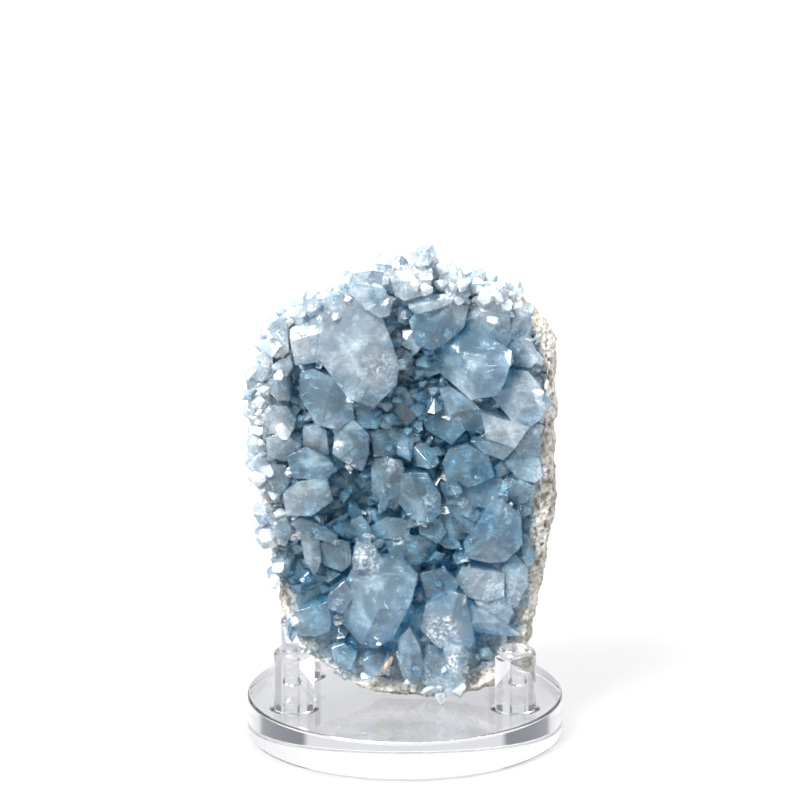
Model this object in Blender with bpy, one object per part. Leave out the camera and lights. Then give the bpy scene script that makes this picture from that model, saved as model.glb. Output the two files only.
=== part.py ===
"""Celestite geode standing on a clear acrylic peg stand.

Frame: metres, +Z up, the crystal face looks along -Y. The origin is the centre of the
stand's underside. Sizes are written in millimetres and turned into metres by MM.

The pieces are the acrylic disc, its four pegs, the rock that the geode is broken from, and
one crust of celestite crystals grown together in the hollow of the rock.
"""
import math
import random

import bmesh
import bpy
from mathutils import Matrix, Vector, noise

for old in list(bpy.data.objects):
    bpy.data.objects.remove(old, do_unlink=True)

MM = 0.001

# Gap kept between pieces that touch on the real object
GAP = 0.3

# Edges shorter than this are closed after a boolean
SLIVER = 0.002

# Acrylic stand
DISC_DIAMETER = 100.0
DISC_THICKNESS = 12.8
DISC_CHAMFER = 0.8
DISC_SIDES = 60
PEG_DIAMETER = 13.1
PEG_HEIGHT = 20.3
PEG_ROUNDING = 3.0
PEG_SIDES = 20
PEG_SPREAD_FRONT = 35.0
PEG_SPREAD_BACK = 33.0
PEG_ROW = 16.0
PLATE_TOP = DISC_THICKNESS

# The crystal face: a plane close to upright that leans back a little
FACE_Y = -10.0
FACE_LEAN = 0.035
CENTRE_X = 0.0
CENTRE_Z = 72.0

# The rock behind the crystals: rings of its back by angle, and how many outline points each
# ring skips, so that the facets keep one size towards the middle
ROCK_RINGS_BACK = ((9.0, 1), (18.0, 1), (27.0, 1), (36.0, 1), (45.0, 1), (54.0, 2), (62.0, 2),
                   (70.0, 2), (77.0, 4), (84.0, 4))
ROCK_SEGMENTS = 56
ROCK_BACK_DEPTH = 37.0
ROCK_EDGE_DEPTH = 5.0
FOOT_DEPTH_SHARE = 0.42
FOOT_HEIGHT = 48.0
HOLLOW_EDGE = 4.5
HOLLOW_DEPTH = 18.0
ROCK_LUMP = 3.0
ROCK_LUMP_SIZE = 16.0
ROCK_KNOB = 3.2
ROCK_KNOB_SIZE = 15.0
ROCK_GRIT = 1.3
ROCK_GRIT_SIZE = 5.5
GRIT_START = 9.0
KNOB_LEVEL = 0.45

# Bed of intergrown crystal that lines the hollow
BED_EDGE = 2.0
BED_DEPTH = 5.5
BED_SEGMENTS = 30
BED_LUMP = 2.2
BED_LUMP_SIZE = 7.0

# The crystals are drawn on a plane tilted back by this angle, as seen from a little above
DRAWING_TILT = math.radians(18.0)
SIN_TILT = math.sin(DRAWING_TILT)
COS_TILT = math.cos(DRAWING_TILT)

# Rock outline, clockwise from the top: across, height over the plate, width of bare rind
ROCK_OUTLINE = [
    (2, 140, 1.6), (14, 140.5, 1.6), (26, 136.0, 2.0), (36, 131.5, 2.5), (43.6, 123.5, 4.5),
    (47.8, 114, 6.0), (48.2, 97, 6.5), (46.8, 78, 6.0), (47.6, 62, 7.0), (45.6, 48, 7.0),
    (42.6, 38, 6.0), (41, 25, 4.5), (36.5, 14.5, 3.0), (27.5, 4.5, 3.5), (15, 1, 3.0),
    (0, 1.0, 2.5), (-13, 2, 3.0), (-23, 7.5, 3.0), (-32, 16.5, 2.2), (-37.5, 28, 1.6),
    (-41, 40, 1.6), (-44, 54, 2.2), (-45, 66, 3.0), (-48, 79, 2.2), (-48, 96, 1.6),
    (-44.5, 109, 1.6), (-42.5, 121, 1.6), (-36, 128.5, 1.6), (-24, 130.5, 1.6), (-12, 135, 1.6),
]

# Crystals: corners of the outline (across, up), then the flat faces at its front, each with
# how far its middle stands out of the face plane and its slope across and up
CRYSTALS = {
    # Upper left
    "big_block": ([(-25, 124), (-19, 125), (-8, 119), (-5, 112), (-2, 103), (-3, 97), (-10, 91),
                   (-18, 95), (-27, 106), (-25.5, 116)], [(8.5, 0.05, -0.22), (9.5, -0.42, -0.1)]),
    "lit_slab": ([(-37, 115), (-33, 118), (-26, 123), (-25, 116), (-27, 105), (-34, 104)],
                 [(5.5, 0.1, -0.12), (5.0, 0.3, -0.75)]),
    "shoulder": ([(-33, 100), (-29, 101.5), (-22, 99), (-18, 96), (-16, 86), (-22, 83), (-28, 85),
                  (-33, 93)], [(7, 0.28, -0.05), (7.5, -0.3, 0.12)]),
    "corner_white": ([(-43, 116), (-39, 119), (-37, 115), (-36.5, 108), (-39, 106), (-42, 108),
                      (-43.5, 112)], [(4, 0.15, -0.1), (3.5, 0.6, 0.2)]),
    "corner_small": ([(-41, 104), (-36.5, 106.5), (-35.5, 103), (-37, 100), (-40, 101)],
                     [(4, -0.2, -0.3)]),
    "corner_slab": ([(-32, 124.5), (-27, 125), (-26, 123), (-30, 119), (-32, 120)],
                    [(3, -0.1, -0.3)]),
    "ridge_pale": ([(-24, 123), (-23, 126), (-19, 126), (-16, 124), (-20, 121)],
                   [(3.5, 0.1, -0.5)]),
    # Top
    "top_left": ([(-18, 127), (-15.5, 129.5), (-7, 128), (-4, 124), (-5, 119.5), (-8, 118.5),
                  (-13, 122)], [(8, 0.25, -0.1), (7.5, -0.35, -0.3)]),
    "top_teal": ([(-18, 128), (-17, 132), (-15.5, 133), (-10, 133), (-6, 134), (-4, 131),
                  (-6, 127), (-13, 127)], [(3.5, 0.12, -0.3), (3, -0.5, 0.1)]),
    "crown_left": ([(-7, 132), (-5.5, 138), (-3, 139), (0, 138.5), (2, 136.5), (-4, 129),
                    (-7, 129)], [(3, 0.2, -0.15), (2.4, 0.6, -0.5), (3, -0.6, 0.1)]),
    "crown_block": ([(-4.5, 132), (-1.5, 136), (5, 137), (8, 136.5), (8.5, 131), (7, 126),
                     (0, 124), (-3, 126)], [(6.5, 0.08, -0.12), (6, 0.1, -0.65)]),
    "crown_right": ([(2, 136), (4, 139), (7.5, 139.5), (10.5, 138), (12, 134), (10.5, 131),
                     (8, 131)], [(2.8, 0.1, -0.3), (2.5, -0.5, 0.1), (2.4, 0.6, 0)]),
    "white_lump": ([(11, 130), (12, 135), (14, 137), (16.5, 136.5), (20, 132), (21, 126.5),
                    (19, 124.5), (15, 125)], [(5.5, 0.05, -0.1), (5, 0.6, -0.35), (5, -0.5, -0.2)]),
    "white_knob": ([(24, 127), (27, 130), (31, 130.5), (33.5, 128), (33, 124), (28, 122.5),
                    (25.5, 121.5)], [(5.5, 0.15, -0.1), (5, 0.55, -0.5), (5, -0.4, 0.4)]),
    "bright_bar": ([(1, 123.5), (4, 125.5), (14, 126), (17.5, 124.5), (11, 121.5), (3.5, 119.5)],
                   [(6.5, 0.02, -0.25), (6.5, 0.2, -1.0)]),
    "dark_roof": ([(1.5, 117), (3.5, 119.5), (15, 123), (20, 121.5), (18.5, 115), (13, 110.5),
                   (9, 108.5), (4, 110)], [(6, -0.35, 0.05), (6.5, 0.32, -0.25)]),
    "tall_facets": ([(18, 119), (23, 122), (30, 123.5), (33, 121), (34, 112), (32, 109),
                     (23, 112)], [(4.5, -0.25, 0.05), (4.2, 0.5, 0), (5, 0.02, 0.35)]),
    # Right shoulder
    "frost_right": ([(32, 120), (36, 122.5), (40, 119.5), (41, 115), (38, 111.5), (33, 112)],
                    [(3, 0.3, -0.2), (2.6, -0.3, 0.3)]),
    "teal_right": ([(33.5, 110), (37, 112), (40, 111), (42, 106), (40, 103), (34, 103)],
                   [(5, 0.12, -0.12), (4.4, 0.55, 0.2)]),
    "wedge": ([(4, 103.3), (13, 110), (18, 114), (23, 113), (31, 108), (33.5, 107), (31, 98),
               (29, 94), (21, 92.5), (11, 99)], [(10, 0.03, 0.18), (9, 0.1, -0.75), (9.5, 0.85, 0.1)]),
    "right_block": ([(31, 100), (34, 101.5), (39, 101), (43, 95), (46, 91.5), (42, 86),
                     (39, 83.5), (34, 86), (27.5, 93.5)], [(7, 0.05, 0.12), (6.4, 0.42, -0.1)]),
    # Middle
    "long_prism": ([(11, 95), (14, 96), (21, 92.5), (25.5, 88), (24.5, 80.5), (18, 82), (13, 89)],
                   [(4, 0.32, -0.1), (4, 0.1, 0.7)]),
    "prism_end": ([(24.5, 88), (38.5, 84), (34.5, 77.5), (26, 80)], [(7.5, 0.15, 0.12)]),
    "striated": ([(3, 102), (11, 98), (18, 85), (14, 81), (7, 84), (3, 89)], [(-1.5, 0.2, -0.25)]),
    "grey_heart": ([(-4, 97), (0, 96), (3, 91), (3.5, 86), (0, 83), (-6, 84.5), (-10, 89),
                    (-8, 93)], [(1.5, 0.3, -0.1), (1, -0.3, 0.1)]),
    "grey_slab": ([(-17.5, 93), (-12, 93), (-7, 88), (-9, 84), (-15, 84)], [(3, 0.2, -0.15)]),
    "left_keystone": ([(-22, 82.5), (-16, 85.5), (-11.5, 81.5), (-11.5, 75), (-13.5, 69),
                       (-22.5, 75)], [(5.5, 0.3, -0.1), (5.5, -0.1, 0.35)]),
    "centre_block": ([(-10.5, 82), (-3, 83.5), (2.5, 82), (2.5, 76), (-2, 74), (-9.5, 75)],
                     [(3.2, 0.1, -0.2), (3.6, -0.1, 0.25)]),
    "frost_heart": ([(2.5, 76), (4, 78), (7.5, 77.5), (9, 75), (7.5, 71.5), (3, 71)],
                    [(5, 0.1, -0.1), (4.6, 0.7, 0), (4.6, -0.2, -0.8)]),
    "dark_facet": ([(12, 72), (14, 76.5), (20, 77.5), (26, 75), (28, 68), (20, 65), (13.5, 66)],
                   [(4.5, -0.18, -0.15), (4.5, 0.3, 0.1)]),
    "under_prism": ([(21, 79.5), (27, 79.5), (34.5, 77.5), (31, 73.5), (25, 75.5)],
                    [(4, 0.1, 0.3)]),
    "fan_left": ([(-10.5, 73), (-6, 74), (-1, 73), (0, 68), (-2, 62), (-6.5, 60), (-10.5, 63)],
                 [(4.5, -0.15, 0.1), (4.2, 0.5, -0.1)]),
    "centre_low": ([(-2.5, 68), (2, 69), (7, 68.5), (11, 62), (11, 57), (8, 54.5), (2, 54.5),
                    (-2, 59)], [(6.5, -0.1, -0.15), (6.5, 0.55, 0.1)]),
    "mid_plane": ([(11, 58), (15, 61.5), (25, 63), (29, 60), (25, 54), (20, 49), (12, 47.5)],
                  [(3.5, 0.15, -0.2), (3.2, -0.4, 0.1)]),
    "teal_ledge": ([(11.5, 66), (19, 65.5), (30, 67.5), (33, 64), (31, 59), (14, 60)],
                   [(2, 0.05, -0.3)]),
    # Right edge
    "pale_right": ([(34.5, 77.5), (38, 83), (41.5, 84), (43.5, 79), (42.5, 73), (37, 74)],
                   [(4.5, 0.3, -0.1), (4.2, -0.3, 0.3)]),
    "pale_right_low": ([(32, 72), (35, 75.5), (42.5, 73.5), (43, 69), (41, 66.5), (36, 67)],
                       [(4, 0.1, -0.3), (4, 0.3, 0.2)]),
    "steel_right": ([(33, 66), (37, 67), (41, 65), (41.5, 62), (38, 59), (33.5, 60)],
                    [(4, 0.2, -0.1), (3.6, -0.2, 0.5)]),
    "blue_shield": ([(19, 46), (23.5, 53), (28, 60), (31, 60), (36.5, 55), (37, 46), (32, 40),
                     (27, 39.5), (20, 41.5)], [(9, -0.3, 0.02), (9, 0.4, -0.12), (8.5, 0, 0.5)]),
    # Left edge
    "left_dark": ([(-32, 83), (-28, 84.5), (-25, 83), (-24, 75), (-28, 74.5), (-32, 78)],
                  [(4, 0.15, -0.1), (4, 0.1, 0.5)]),
    "left_teal": ([(-45, 97), (-41, 100), (-37, 100), (-36.5, 92.5), (-40, 92.5)],
                  [(3, 0.2, -0.1), (2.6, -0.4, -0.2)]),
    "edge_knob": ([(-50.5, 99), (-47, 101), (-44.5, 98), (-46.5, 94.5), (-50.5, 95)],
                  [(0.5, -0.3, -0.2), (0.5, 0.3, 0.3)]),
    "edge_slab": ([(-49.5, 94.5), (-45, 95.5), (-42.5, 93), (-44, 90), (-49.5, 90)],
                  [(1.5, 0.1, -0.2), (1.2, -0.5, 0)]),
    "left_lump": ([(-47, 87), (-43, 90), (-38, 90), (-35, 86), (-36, 82), (-44, 81.5)],
                  [(4, 0.05, -0.3), (4, 0.2, 0.3), (3.6, -0.4, 0)]),
    "left_lump_low": ([(-44, 80), (-39, 82), (-33, 78), (-35, 74.5), (-38, 73), (-43, 75)],
                      [(4, 0.15, -0.2), (4, -0.3, 0.2)]),
    "edge_lobe": ([(-50.5, 80), (-47.5, 83), (-44.5, 80), (-43.5, 76), (-49, 76)],
                  [(1, 0.2, -0.3), (1, -0.5, 0.1)]),
    "white_boss": ([(-46, 69), (-42, 72), (-38, 71.5), (-37, 66), (-40, 62), (-45, 64)],
                   [(3, 0.15, -0.2), (3, -0.3, 0.2)]),
    "left_pair_top": ([(-37, 74), (-31, 77), (-24, 73.5), (-21.5, 70.5), (-26, 67), (-35, 67.5)],
                      [(5.5, 0.1, -0.3), (5.5, 0.05, 0.3)]),
    "left_pair_low": ([(-38.5, 62), (-34, 66), (-25, 67.5), (-23, 60.5), (-30, 56), (-37.5, 55)],
                      [(5.5, -0.1, -0.12), (5.5, 0.35, 0.15)]),
    "pale_arm": ([(-36, 53), (-33, 55), (-25, 52), (-21.5, 50), (-22, 47.5), (-31, 50)],
                 [(4, 0, -0.4)]),
    "pale_leg": ([(-33, 49), (-30.5, 51), (-27, 48), (-26.5, 41), (-28.5, 37), (-31.5, 41)],
                 [(5, 0.5, 0.05), (5, -0.4, 0)]),
    "edge_pale": ([(-43.5, 53), (-38, 55), (-35.5, 51), (-38, 46), (-43, 47)],
                  [(2, 0.1, -0.2), (2, 0.1, 0.3)]),
    "edge_white": ([(-44, 38.5), (-41, 40.5), (-37.5, 40), (-37.5, 35.5), (-42.5, 35)],
                   [(1.5, 0.1, -0.3), (1.2, -0.4, 0.3)]),
    "left_panel": ([(-26.5, 47), (-23, 49), (-17.5, 47), (-17, 41), (-20, 38), (-26.5, 40)],
                   [(4, -0.1, -0.1), (4, 0.3, 0.3)]),
    # Lower left
    "white_flare": ([(-16.5, 42), (-15, 47.5), (-9.5, 45.5), (-7, 40.5), (-10, 38.5), (-16, 39)],
                    [(8, 0.1, -0.2), (7.5, -0.5, 0.1)]),
    "low_block": ([(-15, 40), (-1, 40.5), (3.5, 36), (2, 30), (-2, 22), (-4, 16), (-9, 12),
                   (-12.5, 12), (-21, 19), (-23, 25), (-19, 33)],
                  [(10, 0.06, -0.3), (9.5, 0.05, 0.42), (9, 0.7, 0.1)]),
    "frost_left": ([(-24, 31), (-19, 35), (-16, 30), (-20, 25), (-24, 27)], [(5, -0.2, 0)]),
    "foot_left": ([(-35.5, 22), (-34, 25), (-25, 28), (-23.5, 23), (-24, 19.5), (-28.5, 17.6),
                   (-34, 17.6)], [(2.2, 0.1, -0.12), (2.4, 0.1, 0.1)]),
    "sill_left": ([(-23.5, 13), (-19.5, 14.5), (-15.5, 11.5), (-17, 8), (-22, 9)],
                  [(1.8, 0.1, -0.2)]),
    "sill_mid": ([(-13, 10), (-8.5, 12), (-5, 10), (-7, 6), (-12, 6)], [(1.6, -0.1, -0.2)]),
    "tan_shard": ([(-8, 6), (-5.5, 12), (-4, 11), (-5, 5)], [(4, 0.3, 0.1)]),
    # Lower middle and right
    "low_teal": ([(-6, 47), (-2, 49), (6, 49), (10, 46), (9.5, 41), (1, 40), (-4, 42.5)],
                 [(3.5, 0.12, -0.2), (3.4, -0.3, 0.25)]),
    "low_teal_top": ([(-11, 51), (-6, 55.5), (2, 54), (1, 48.5), (-9, 48.5)],
                     [(3, -0.15, -0.15), (3, 0.3, 0.1)]),
    "small_dome": ([(4, 54), (11, 55), (13, 51), (10, 47.5), (5, 50)], [(4, 0.2, -0.15)]),
    "olive_slab": ([(-17, 54), (-13.5, 55.5), (-11, 52), (-11, 46), (-14, 45.5), (-17, 50)],
                   [(3, 0.3, -0.1)]),
    "deep_blue": ([(5, 37), (12.5, 39), (17, 35), (15, 30.5), (7.5, 28)], [(2.5, 0.15, -0.1)]),
    "frost_bank": ([(16.5, 35), (18.5, 39), (27, 36.5), (31.5, 37), (31, 31), (26, 28.5),
                    (20, 29.5)], [(6, -0.05, -0.35), (6, 0.25, 0.25)]),
    "frost_edge": ([(31.5, 38), (35.5, 42.5), (39, 38.5), (39, 33), (36, 28), (32, 28)],
                   [(5, 0.25, -0.15), (4.8, -0.3, 0.05)]),
    "frost_low": ([(22, 29), (27, 30.5), (31.5, 31), (34, 26), (32.5, 21), (27, 22)],
                  [(5, 0.1, -0.25), (5, 0.2, 0.3)]),
    "right_foot": ([(7, 27), (11, 29), (16, 31), (19.5, 29), (18.5, 22), (22.5, 14), (19, 11),
                    (11, 12.5), (5.5, 18.5)], [(9, 0.05, -0.1), (8.5, -0.55, 0.1), (8.5, 0.2, 0.45)]),
    "leaning_prism": ([(18.5, 23), (20.5, 27), (26.5, 25), (32, 20.5), (36.5, 17.6), (30, 17.6),
                       (23, 18.5)], [(5.5, 0.1, -0.25), (5, 0.1, 0.35)]),
    "column": ([(-2, 16), (1.5, 20.5), (4.5, 14), (6, 8), (4.5, 2.8), (0, 3), (-2, 8)],
               [(5.5, -0.35, 0.05), (5.5, 0.35, 0.05)]),
    "toe": ([(4.5, 3), (6, 9), (8, 12), (13, 10), (18.5, 6), (19, 1.5), (12, -3), (8.5, -1)],
            [(4, -0.1, -0.1), (4, 0.25, 0.25)]),
    "frost_toe": ([(12.5, 12), (15, 14.5), (19, 14), (21, 11), (19, 6.5), (14, 7.5)],
                  [(8, 0.1, -0.1), (7.6, 0.6, 0.3), (7.6, -0.5, 0.2)]),
}

# Crystals are a little larger than the outline seen, because neighbours overlap
CRYSTAL_FILL = 1.06

# How far a crystal's prism runs in front of its outline before its front faces are cut
FRONT_SLACK = 6.0

# Small crystals scattered by a seeded rule: along the rim, and on the bed between the others
RIM_CRYSTALS = 22
BED_CRYSTALS = 8
SEED = 7

ROCK_COLOUR = (0.62, 0.58, 0.51, 1.0)
CRYSTAL_COLOUR = (0.33, 0.50, 0.62, 1.0)
ACRYLIC_COLOUR = (0.93, 0.95, 0.97, 1.0)


def material(name, colour, roughness, transmission, ior):
    """A plain principled finish for one kind of piece."""
    mat = bpy.data.materials.new(name)
    mat.use_nodes = True
    shader = mat.node_tree.nodes["Principled BSDF"]
    shader.inputs["Base Color"].default_value = colour
    shader.inputs["Metallic"].default_value = 0.0
    shader.inputs["Roughness"].default_value = roughness
    shader.inputs["Transmission Weight"].default_value = transmission
    shader.inputs["IOR"].default_value = ior
    mat.diffuse_color = colour
    return mat


def add_object(name, bm, mat):
    """Turns a bmesh in millimetres into a named object in metres."""
    bmesh.ops.scale(bm, vec=(MM, MM, MM), verts=bm.verts)
    mesh = bpy.data.meshes.new(name)
    bm.to_mesh(mesh)
    bm.free()
    mesh.materials.append(mat)
    obj = bpy.data.objects.new(name, mesh)
    bpy.context.scene.collection.objects.link(obj)
    return obj


def face_y(height):
    """Y of the crystal face plane at a height over the plate."""
    return FACE_Y + FACE_LEAN * height


def round_rod(name, radius, height, sides, place, rounding, steps, both_ends, mat):
    """An upright acrylic rod or disc whose edges are rounded or chamfered."""
    bm = bmesh.new()
    bmesh.ops.create_cone(bm, cap_ends=True, segments=sides, radius1=radius, radius2=radius,
                          depth=height)
    bmesh.ops.translate(bm, vec=(0.0, 0.0, height / 2), verts=bm.verts)
    middle = height / 2
    rims = [edge for edge in bm.edges
            if abs(edge.verts[0].co.z - edge.verts[1].co.z) < 0.01
            and (both_ends or edge.verts[0].co.z > middle)]
    bmesh.ops.bevel(bm, geom=rims, offset=rounding, segments=steps, profile=0.5, affect="EDGES")
    obj = add_object(name, bm, mat)
    obj.location = (place[0] * MM, place[1] * MM, place[2] * MM)
    obj.data.shade_smooth()
    obj.data.set_sharp_from_angle(angle=math.radians(35.0))
    return obj


def spline_loop(points, count):
    """Evenly numbered points on a smooth closed curve through the given points."""
    loop = []
    total = len(points)
    for index in range(count):
        place = index * total / count
        start = int(place)
        t = place - start
        p0, p1, p2, p3 = (Vector(points[(start + k) % total]) for k in (-1, 0, 1, 2))
        loop.append(0.5 * (2 * p1 + (p2 - p0) * t + (2 * p0 - 5 * p1 + 4 * p2 - p3) * t * t
                           + (3 * p1 - p0 - 3 * p2 + p3) * t ** 3))
    return loop


OUTLINE = spline_loop(ROCK_OUTLINE, ROCK_SEGMENTS)
BED_OUTLINE = spline_loop(ROCK_OUTLINE, BED_SEGMENTS)


def bridge(bm, one, other):
    """Faces between two rings, where either may have half as many points as the other."""
    wide, narrow = (one, other) if len(one) >= len(other) else (other, one)
    count = len(narrow)
    step = len(wide) // count
    for i in range(count):
        j = (i + 1) % count
        first = wide[step * i]
        last = wide[step * (i + 1) % len(wide)]
        if step == 1:
            bm.faces.new((first, last, narrow[j], narrow[i]))
        else:
            middle = wide[step * i + 1]
            bm.faces.new((first, middle, narrow[i]))
            bm.faces.new((middle, narrow[j], narrow[i]))
            bm.faces.new((middle, last, narrow[j]))


def loft(rings, front_pole, back_pole):
    """Closed body from rings of points, with a point at each end."""
    bm = bmesh.new()
    rows = [[bm.verts.new(point) for point in ring] for ring in rings]
    for row, following in zip(rows, rows[1:]):
        bridge(bm, row, following)
    for row, pole in ((rows[0], front_pole), (rows[-1], back_pole)):
        tip = bm.verts.new(pole)
        for i, vert in enumerate(row):
            bm.faces.new((vert, tip, row[(i + 1) % len(row)]))
    bmesh.ops.recalc_face_normals(bm, faces=bm.faces)
    return bm


def inset_ring(outline, offset, depth):
    """Ring set in from an outline by a length in millimetres, at a depth behind the face."""
    ring = []
    for x, z, rind in outline:
        inward = Vector((CENTRE_X - x, CENTRE_Z - z)).normalized()
        step = offset(rind)
        ring.append(Vector((x + inward.x * step, face_y(z) + depth, z + inward.y * step)))
    return ring


def scaled_ring(outline, offset, scale, depth):
    """Ring drawn towards the centre from an inset ring, at a depth behind the face."""
    ring = []
    for point in inset_ring(outline, offset, 0.0):
        x = CENTRE_X + (point.x - CENTRE_X) * scale
        z = CENTRE_Z + (point.z - CENTRE_Z) * scale
        ring.append(Vector((x, face_y(z) + depth, z)))
    return ring


def back_depth(height, reach):
    """Depth of the rounded back behind the rock's edge. The foot is thinner, to sit between
    the pegs."""
    rise = min(max(height / FOOT_HEIGHT, 0.0), 1.0)
    share = FOOT_DEPTH_SHARE + (1.0 - FOOT_DEPTH_SHARE) * rise * rise * (3.0 - 2.0 * rise)
    return ROCK_EDGE_DEPTH + ROCK_BACK_DEPTH * share * reach


def hollow_depth(edge, deepest, scale):
    """Depth of a dish behind the face, from its edge (scale 1) to its middle (scale 0)."""
    return deepest - (deepest - edge) * scale ** 2.4


def roughen(bm, lump, lump_size, shift):
    """Pushes the surface in and out by smooth noise."""
    bm.normal_update()
    moves = [vert.normal * lump * noise.noise(vert.co / lump_size + shift) for vert in bm.verts]
    for vert, move in zip(bm.verts, moves):
        vert.co += move


def knobble(bm, first_back):
    """Gives the rock's outside rounded knobs with creases between them, and grit."""
    bm.normal_update()
    moves = {}
    for vert in bm.verts[first_back:]:
        behind = vert.co.y - face_y(vert.co.z)
        away = min(max(behind / GRIT_START, 0.1), 1.0)
        nearest = noise.voronoi(vert.co / ROCK_KNOB_SIZE)[0][0]
        fine = noise.noise(vert.co / ROCK_GRIT_SIZE)
        push = (KNOB_LEVEL - nearest) * ROCK_KNOB + fine * ROCK_GRIT
        moves[vert] = vert.normal * push * away
    for vert, move in moves.items():
        vert.co += move


def rock_mesh():
    """The host rock: rounded rough back, thin broken rim, hollow front."""
    rings = []
    for scale, skip in ((0.4, 4), (0.7, 2), (0.93, 1)):
        depth = hollow_depth(HOLLOW_EDGE, HOLLOW_DEPTH, scale)
        rings.append(scaled_ring(OUTLINE, lambda rind: rind + 3.2, scale, depth)[::skip])
    rings.append(inset_ring(OUTLINE, lambda rind: rind + 1.6, 1.8))
    rings.append(inset_ring(OUTLINE, lambda rind: 0.5 * rind + 0.8, 0.0))
    rings.append(inset_ring(OUTLINE, lambda rind: 0.12 * rind + 0.2, 2.2))
    rings.append(inset_ring(OUTLINE, lambda rind: 0.0, ROCK_EDGE_DEPTH))
    front_points = sum(len(ring) for ring in rings)
    for angle, skip in ROCK_RINGS_BACK:
        turn = math.radians(angle)
        ring = scaled_ring(OUTLINE, lambda rind: 0.0, math.cos(turn) ** 0.75, 0.0)[::skip]
        reach = math.sin(turn) ** 0.95
        for point in ring:
            point.y += back_depth(point.z, reach)
        rings.append(ring)
    middle_y = face_y(CENTRE_Z)
    front = Vector((CENTRE_X, middle_y + HOLLOW_DEPTH, CENTRE_Z))
    back = Vector((CENTRE_X, middle_y + back_depth(CENTRE_Z, 1.0), CENTRE_Z))
    bm = loft(rings, front, back)
    roughen(bm, ROCK_LUMP, ROCK_LUMP_SIZE, Vector((3.1, 7.7, 1.3)))
    bm.verts.ensure_lookup_table()
    knobble(bm, front_points)
    for vert in bm.verts:
        vert.co.z = max(vert.co.z, GAP)
    bmesh.ops.triangulate(bm, faces=bm.faces)
    bmesh.ops.translate(bm, vec=(0.0, 0.0, PLATE_TOP), verts=bm.verts)
    return bm


def bed_mesh():
    """The bed of the crust. Its back lies inside the rock and is cut away by it."""
    rings = []
    for scale in (0.25, 0.5, 0.75, 0.92):
        depth = hollow_depth(BED_EDGE, BED_DEPTH, scale)
        rings.append(scaled_ring(BED_OUTLINE, lambda rind: rind + 0.4, scale, depth))
    rings.append(inset_ring(BED_OUTLINE, lambda rind: rind + 0.4, BED_EDGE))
    rings.append(inset_ring(BED_OUTLINE, lambda rind: rind + 1.6, HOLLOW_EDGE + 3.0))
    rings.append(scaled_ring(BED_OUTLINE, lambda rind: rind + 2.0, 0.6, HOLLOW_DEPTH + 1.0))
    middle_y = face_y(CENTRE_Z)
    front = Vector((CENTRE_X, middle_y + BED_DEPTH, CENTRE_Z))
    back = Vector((CENTRE_X, middle_y + HOLLOW_DEPTH + 4.0, CENTRE_Z))
    bm = loft(rings, front, back)
    roughen(bm, BED_LUMP, BED_LUMP_SIZE, Vector((9.2, 0.4, 5.5)))
    bmesh.ops.translate(bm, vec=(0.0, 0.0, PLATE_TOP), verts=bm.verts)
    return bm


def drawing_to_world():
    """Turns drawing coordinates (across, depth behind the face, up) into the part's frame."""
    tilt = SIN_TILT / COS_TILT
    deep = 1.0 / (1.0 + FACE_LEAN * tilt)
    lean = deep * FACE_LEAN / COS_TILT
    start = deep * FACE_Y
    return Matrix((
        (1.0, 0.0, 0.0, 0.0),
        (0.0, deep, lean, start),
        (0.0, -tilt * deep, 1.0 / COS_TILT - tilt * lean, PLATE_TOP - tilt * start),
        (0.0, 0.0, 0.0, 1.0),
    ))


def rim_share(across, up):
    """How far out a place on the drawing lies: 0 at the middle, 1 on the rock's outline."""
    height = (up - SIN_TILT * FACE_Y) / COS_TILT
    ray = Vector((across - CENTRE_X, height - CENTRE_Z))
    nearest = max(OUTLINE, key=lambda point: ray.dot(
        Vector((point.x - CENTRE_X, point.y - CENTRE_Z)).normalized()))
    return ray.length / Vector((nearest.x - CENTRE_X, nearest.y - CENTRE_Z)).length


def grow_crystal(outline, faces, chance):
    """One crystal: a prism with the given outline, cut by flat faces at its front.

    Its root runs level into the bed, drawn in a little towards the middle of the hollow.
    """
    middle = Vector((sum(p[0] for p in outline), sum(p[1] for p in outline))) / len(outline)
    share = min(rim_share(middle.x, middle.y), 1.0)
    out = max(face[0] for face in faces)
    root_depth = hollow_depth(BED_EDGE, BED_DEPTH, share) + 2.5
    centre_up = CENTRE_Z * COS_TILT + FACE_Y * SIN_TILT
    draw_in = Vector((CENTRE_X - middle.x, centre_up - middle.y)) * 0.10 * share ** 3
    draw_in += Vector((chance.uniform(-0.7, 0.7), chance.uniform(-0.7, 0.7)))
    length = out + root_depth
    bm = bmesh.new()
    for across, up in outline:
        arm = (Vector((across, up)) - middle) * CRYSTAL_FILL
        drawn = Vector((middle.x + arm.x, -out, middle.y + arm.y))
        foot = middle + arm * 0.88 + draw_in
        root = Vector((foot.x, root_depth, foot.y + SIN_TILT * length))
        bm.verts.new(root)
        bm.verts.new(drawn + (drawn - root) * (FRONT_SLACK / length))
    bmesh.ops.convex_hull(bm, input=bm.verts)
    for stand, slope_across, slope_up in faces:
        point = Vector((middle.x, -stand, middle.y))
        trim_convex(bm, point, Vector((-slope_across, -1.0, -slope_up)))
    bm.transform(drawing_to_world())
    return bm


def trim_convex(bm, point, normal):
    """Cuts a convex body by a plane, drops the outer side and closes the cut."""
    geometry = bm.verts[:] + bm.edges[:] + bm.faces[:]
    cut = bmesh.ops.bisect_plane(bm, geom=geometry, plane_co=point, plane_no=normal,
                                 clear_outer=True)
    edges = [part for part in cut["geom_cut"] if isinstance(part, bmesh.types.BMEdge)]
    if edges:
        bmesh.ops.edgeloop_fill(bm, edges=edges)


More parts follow.
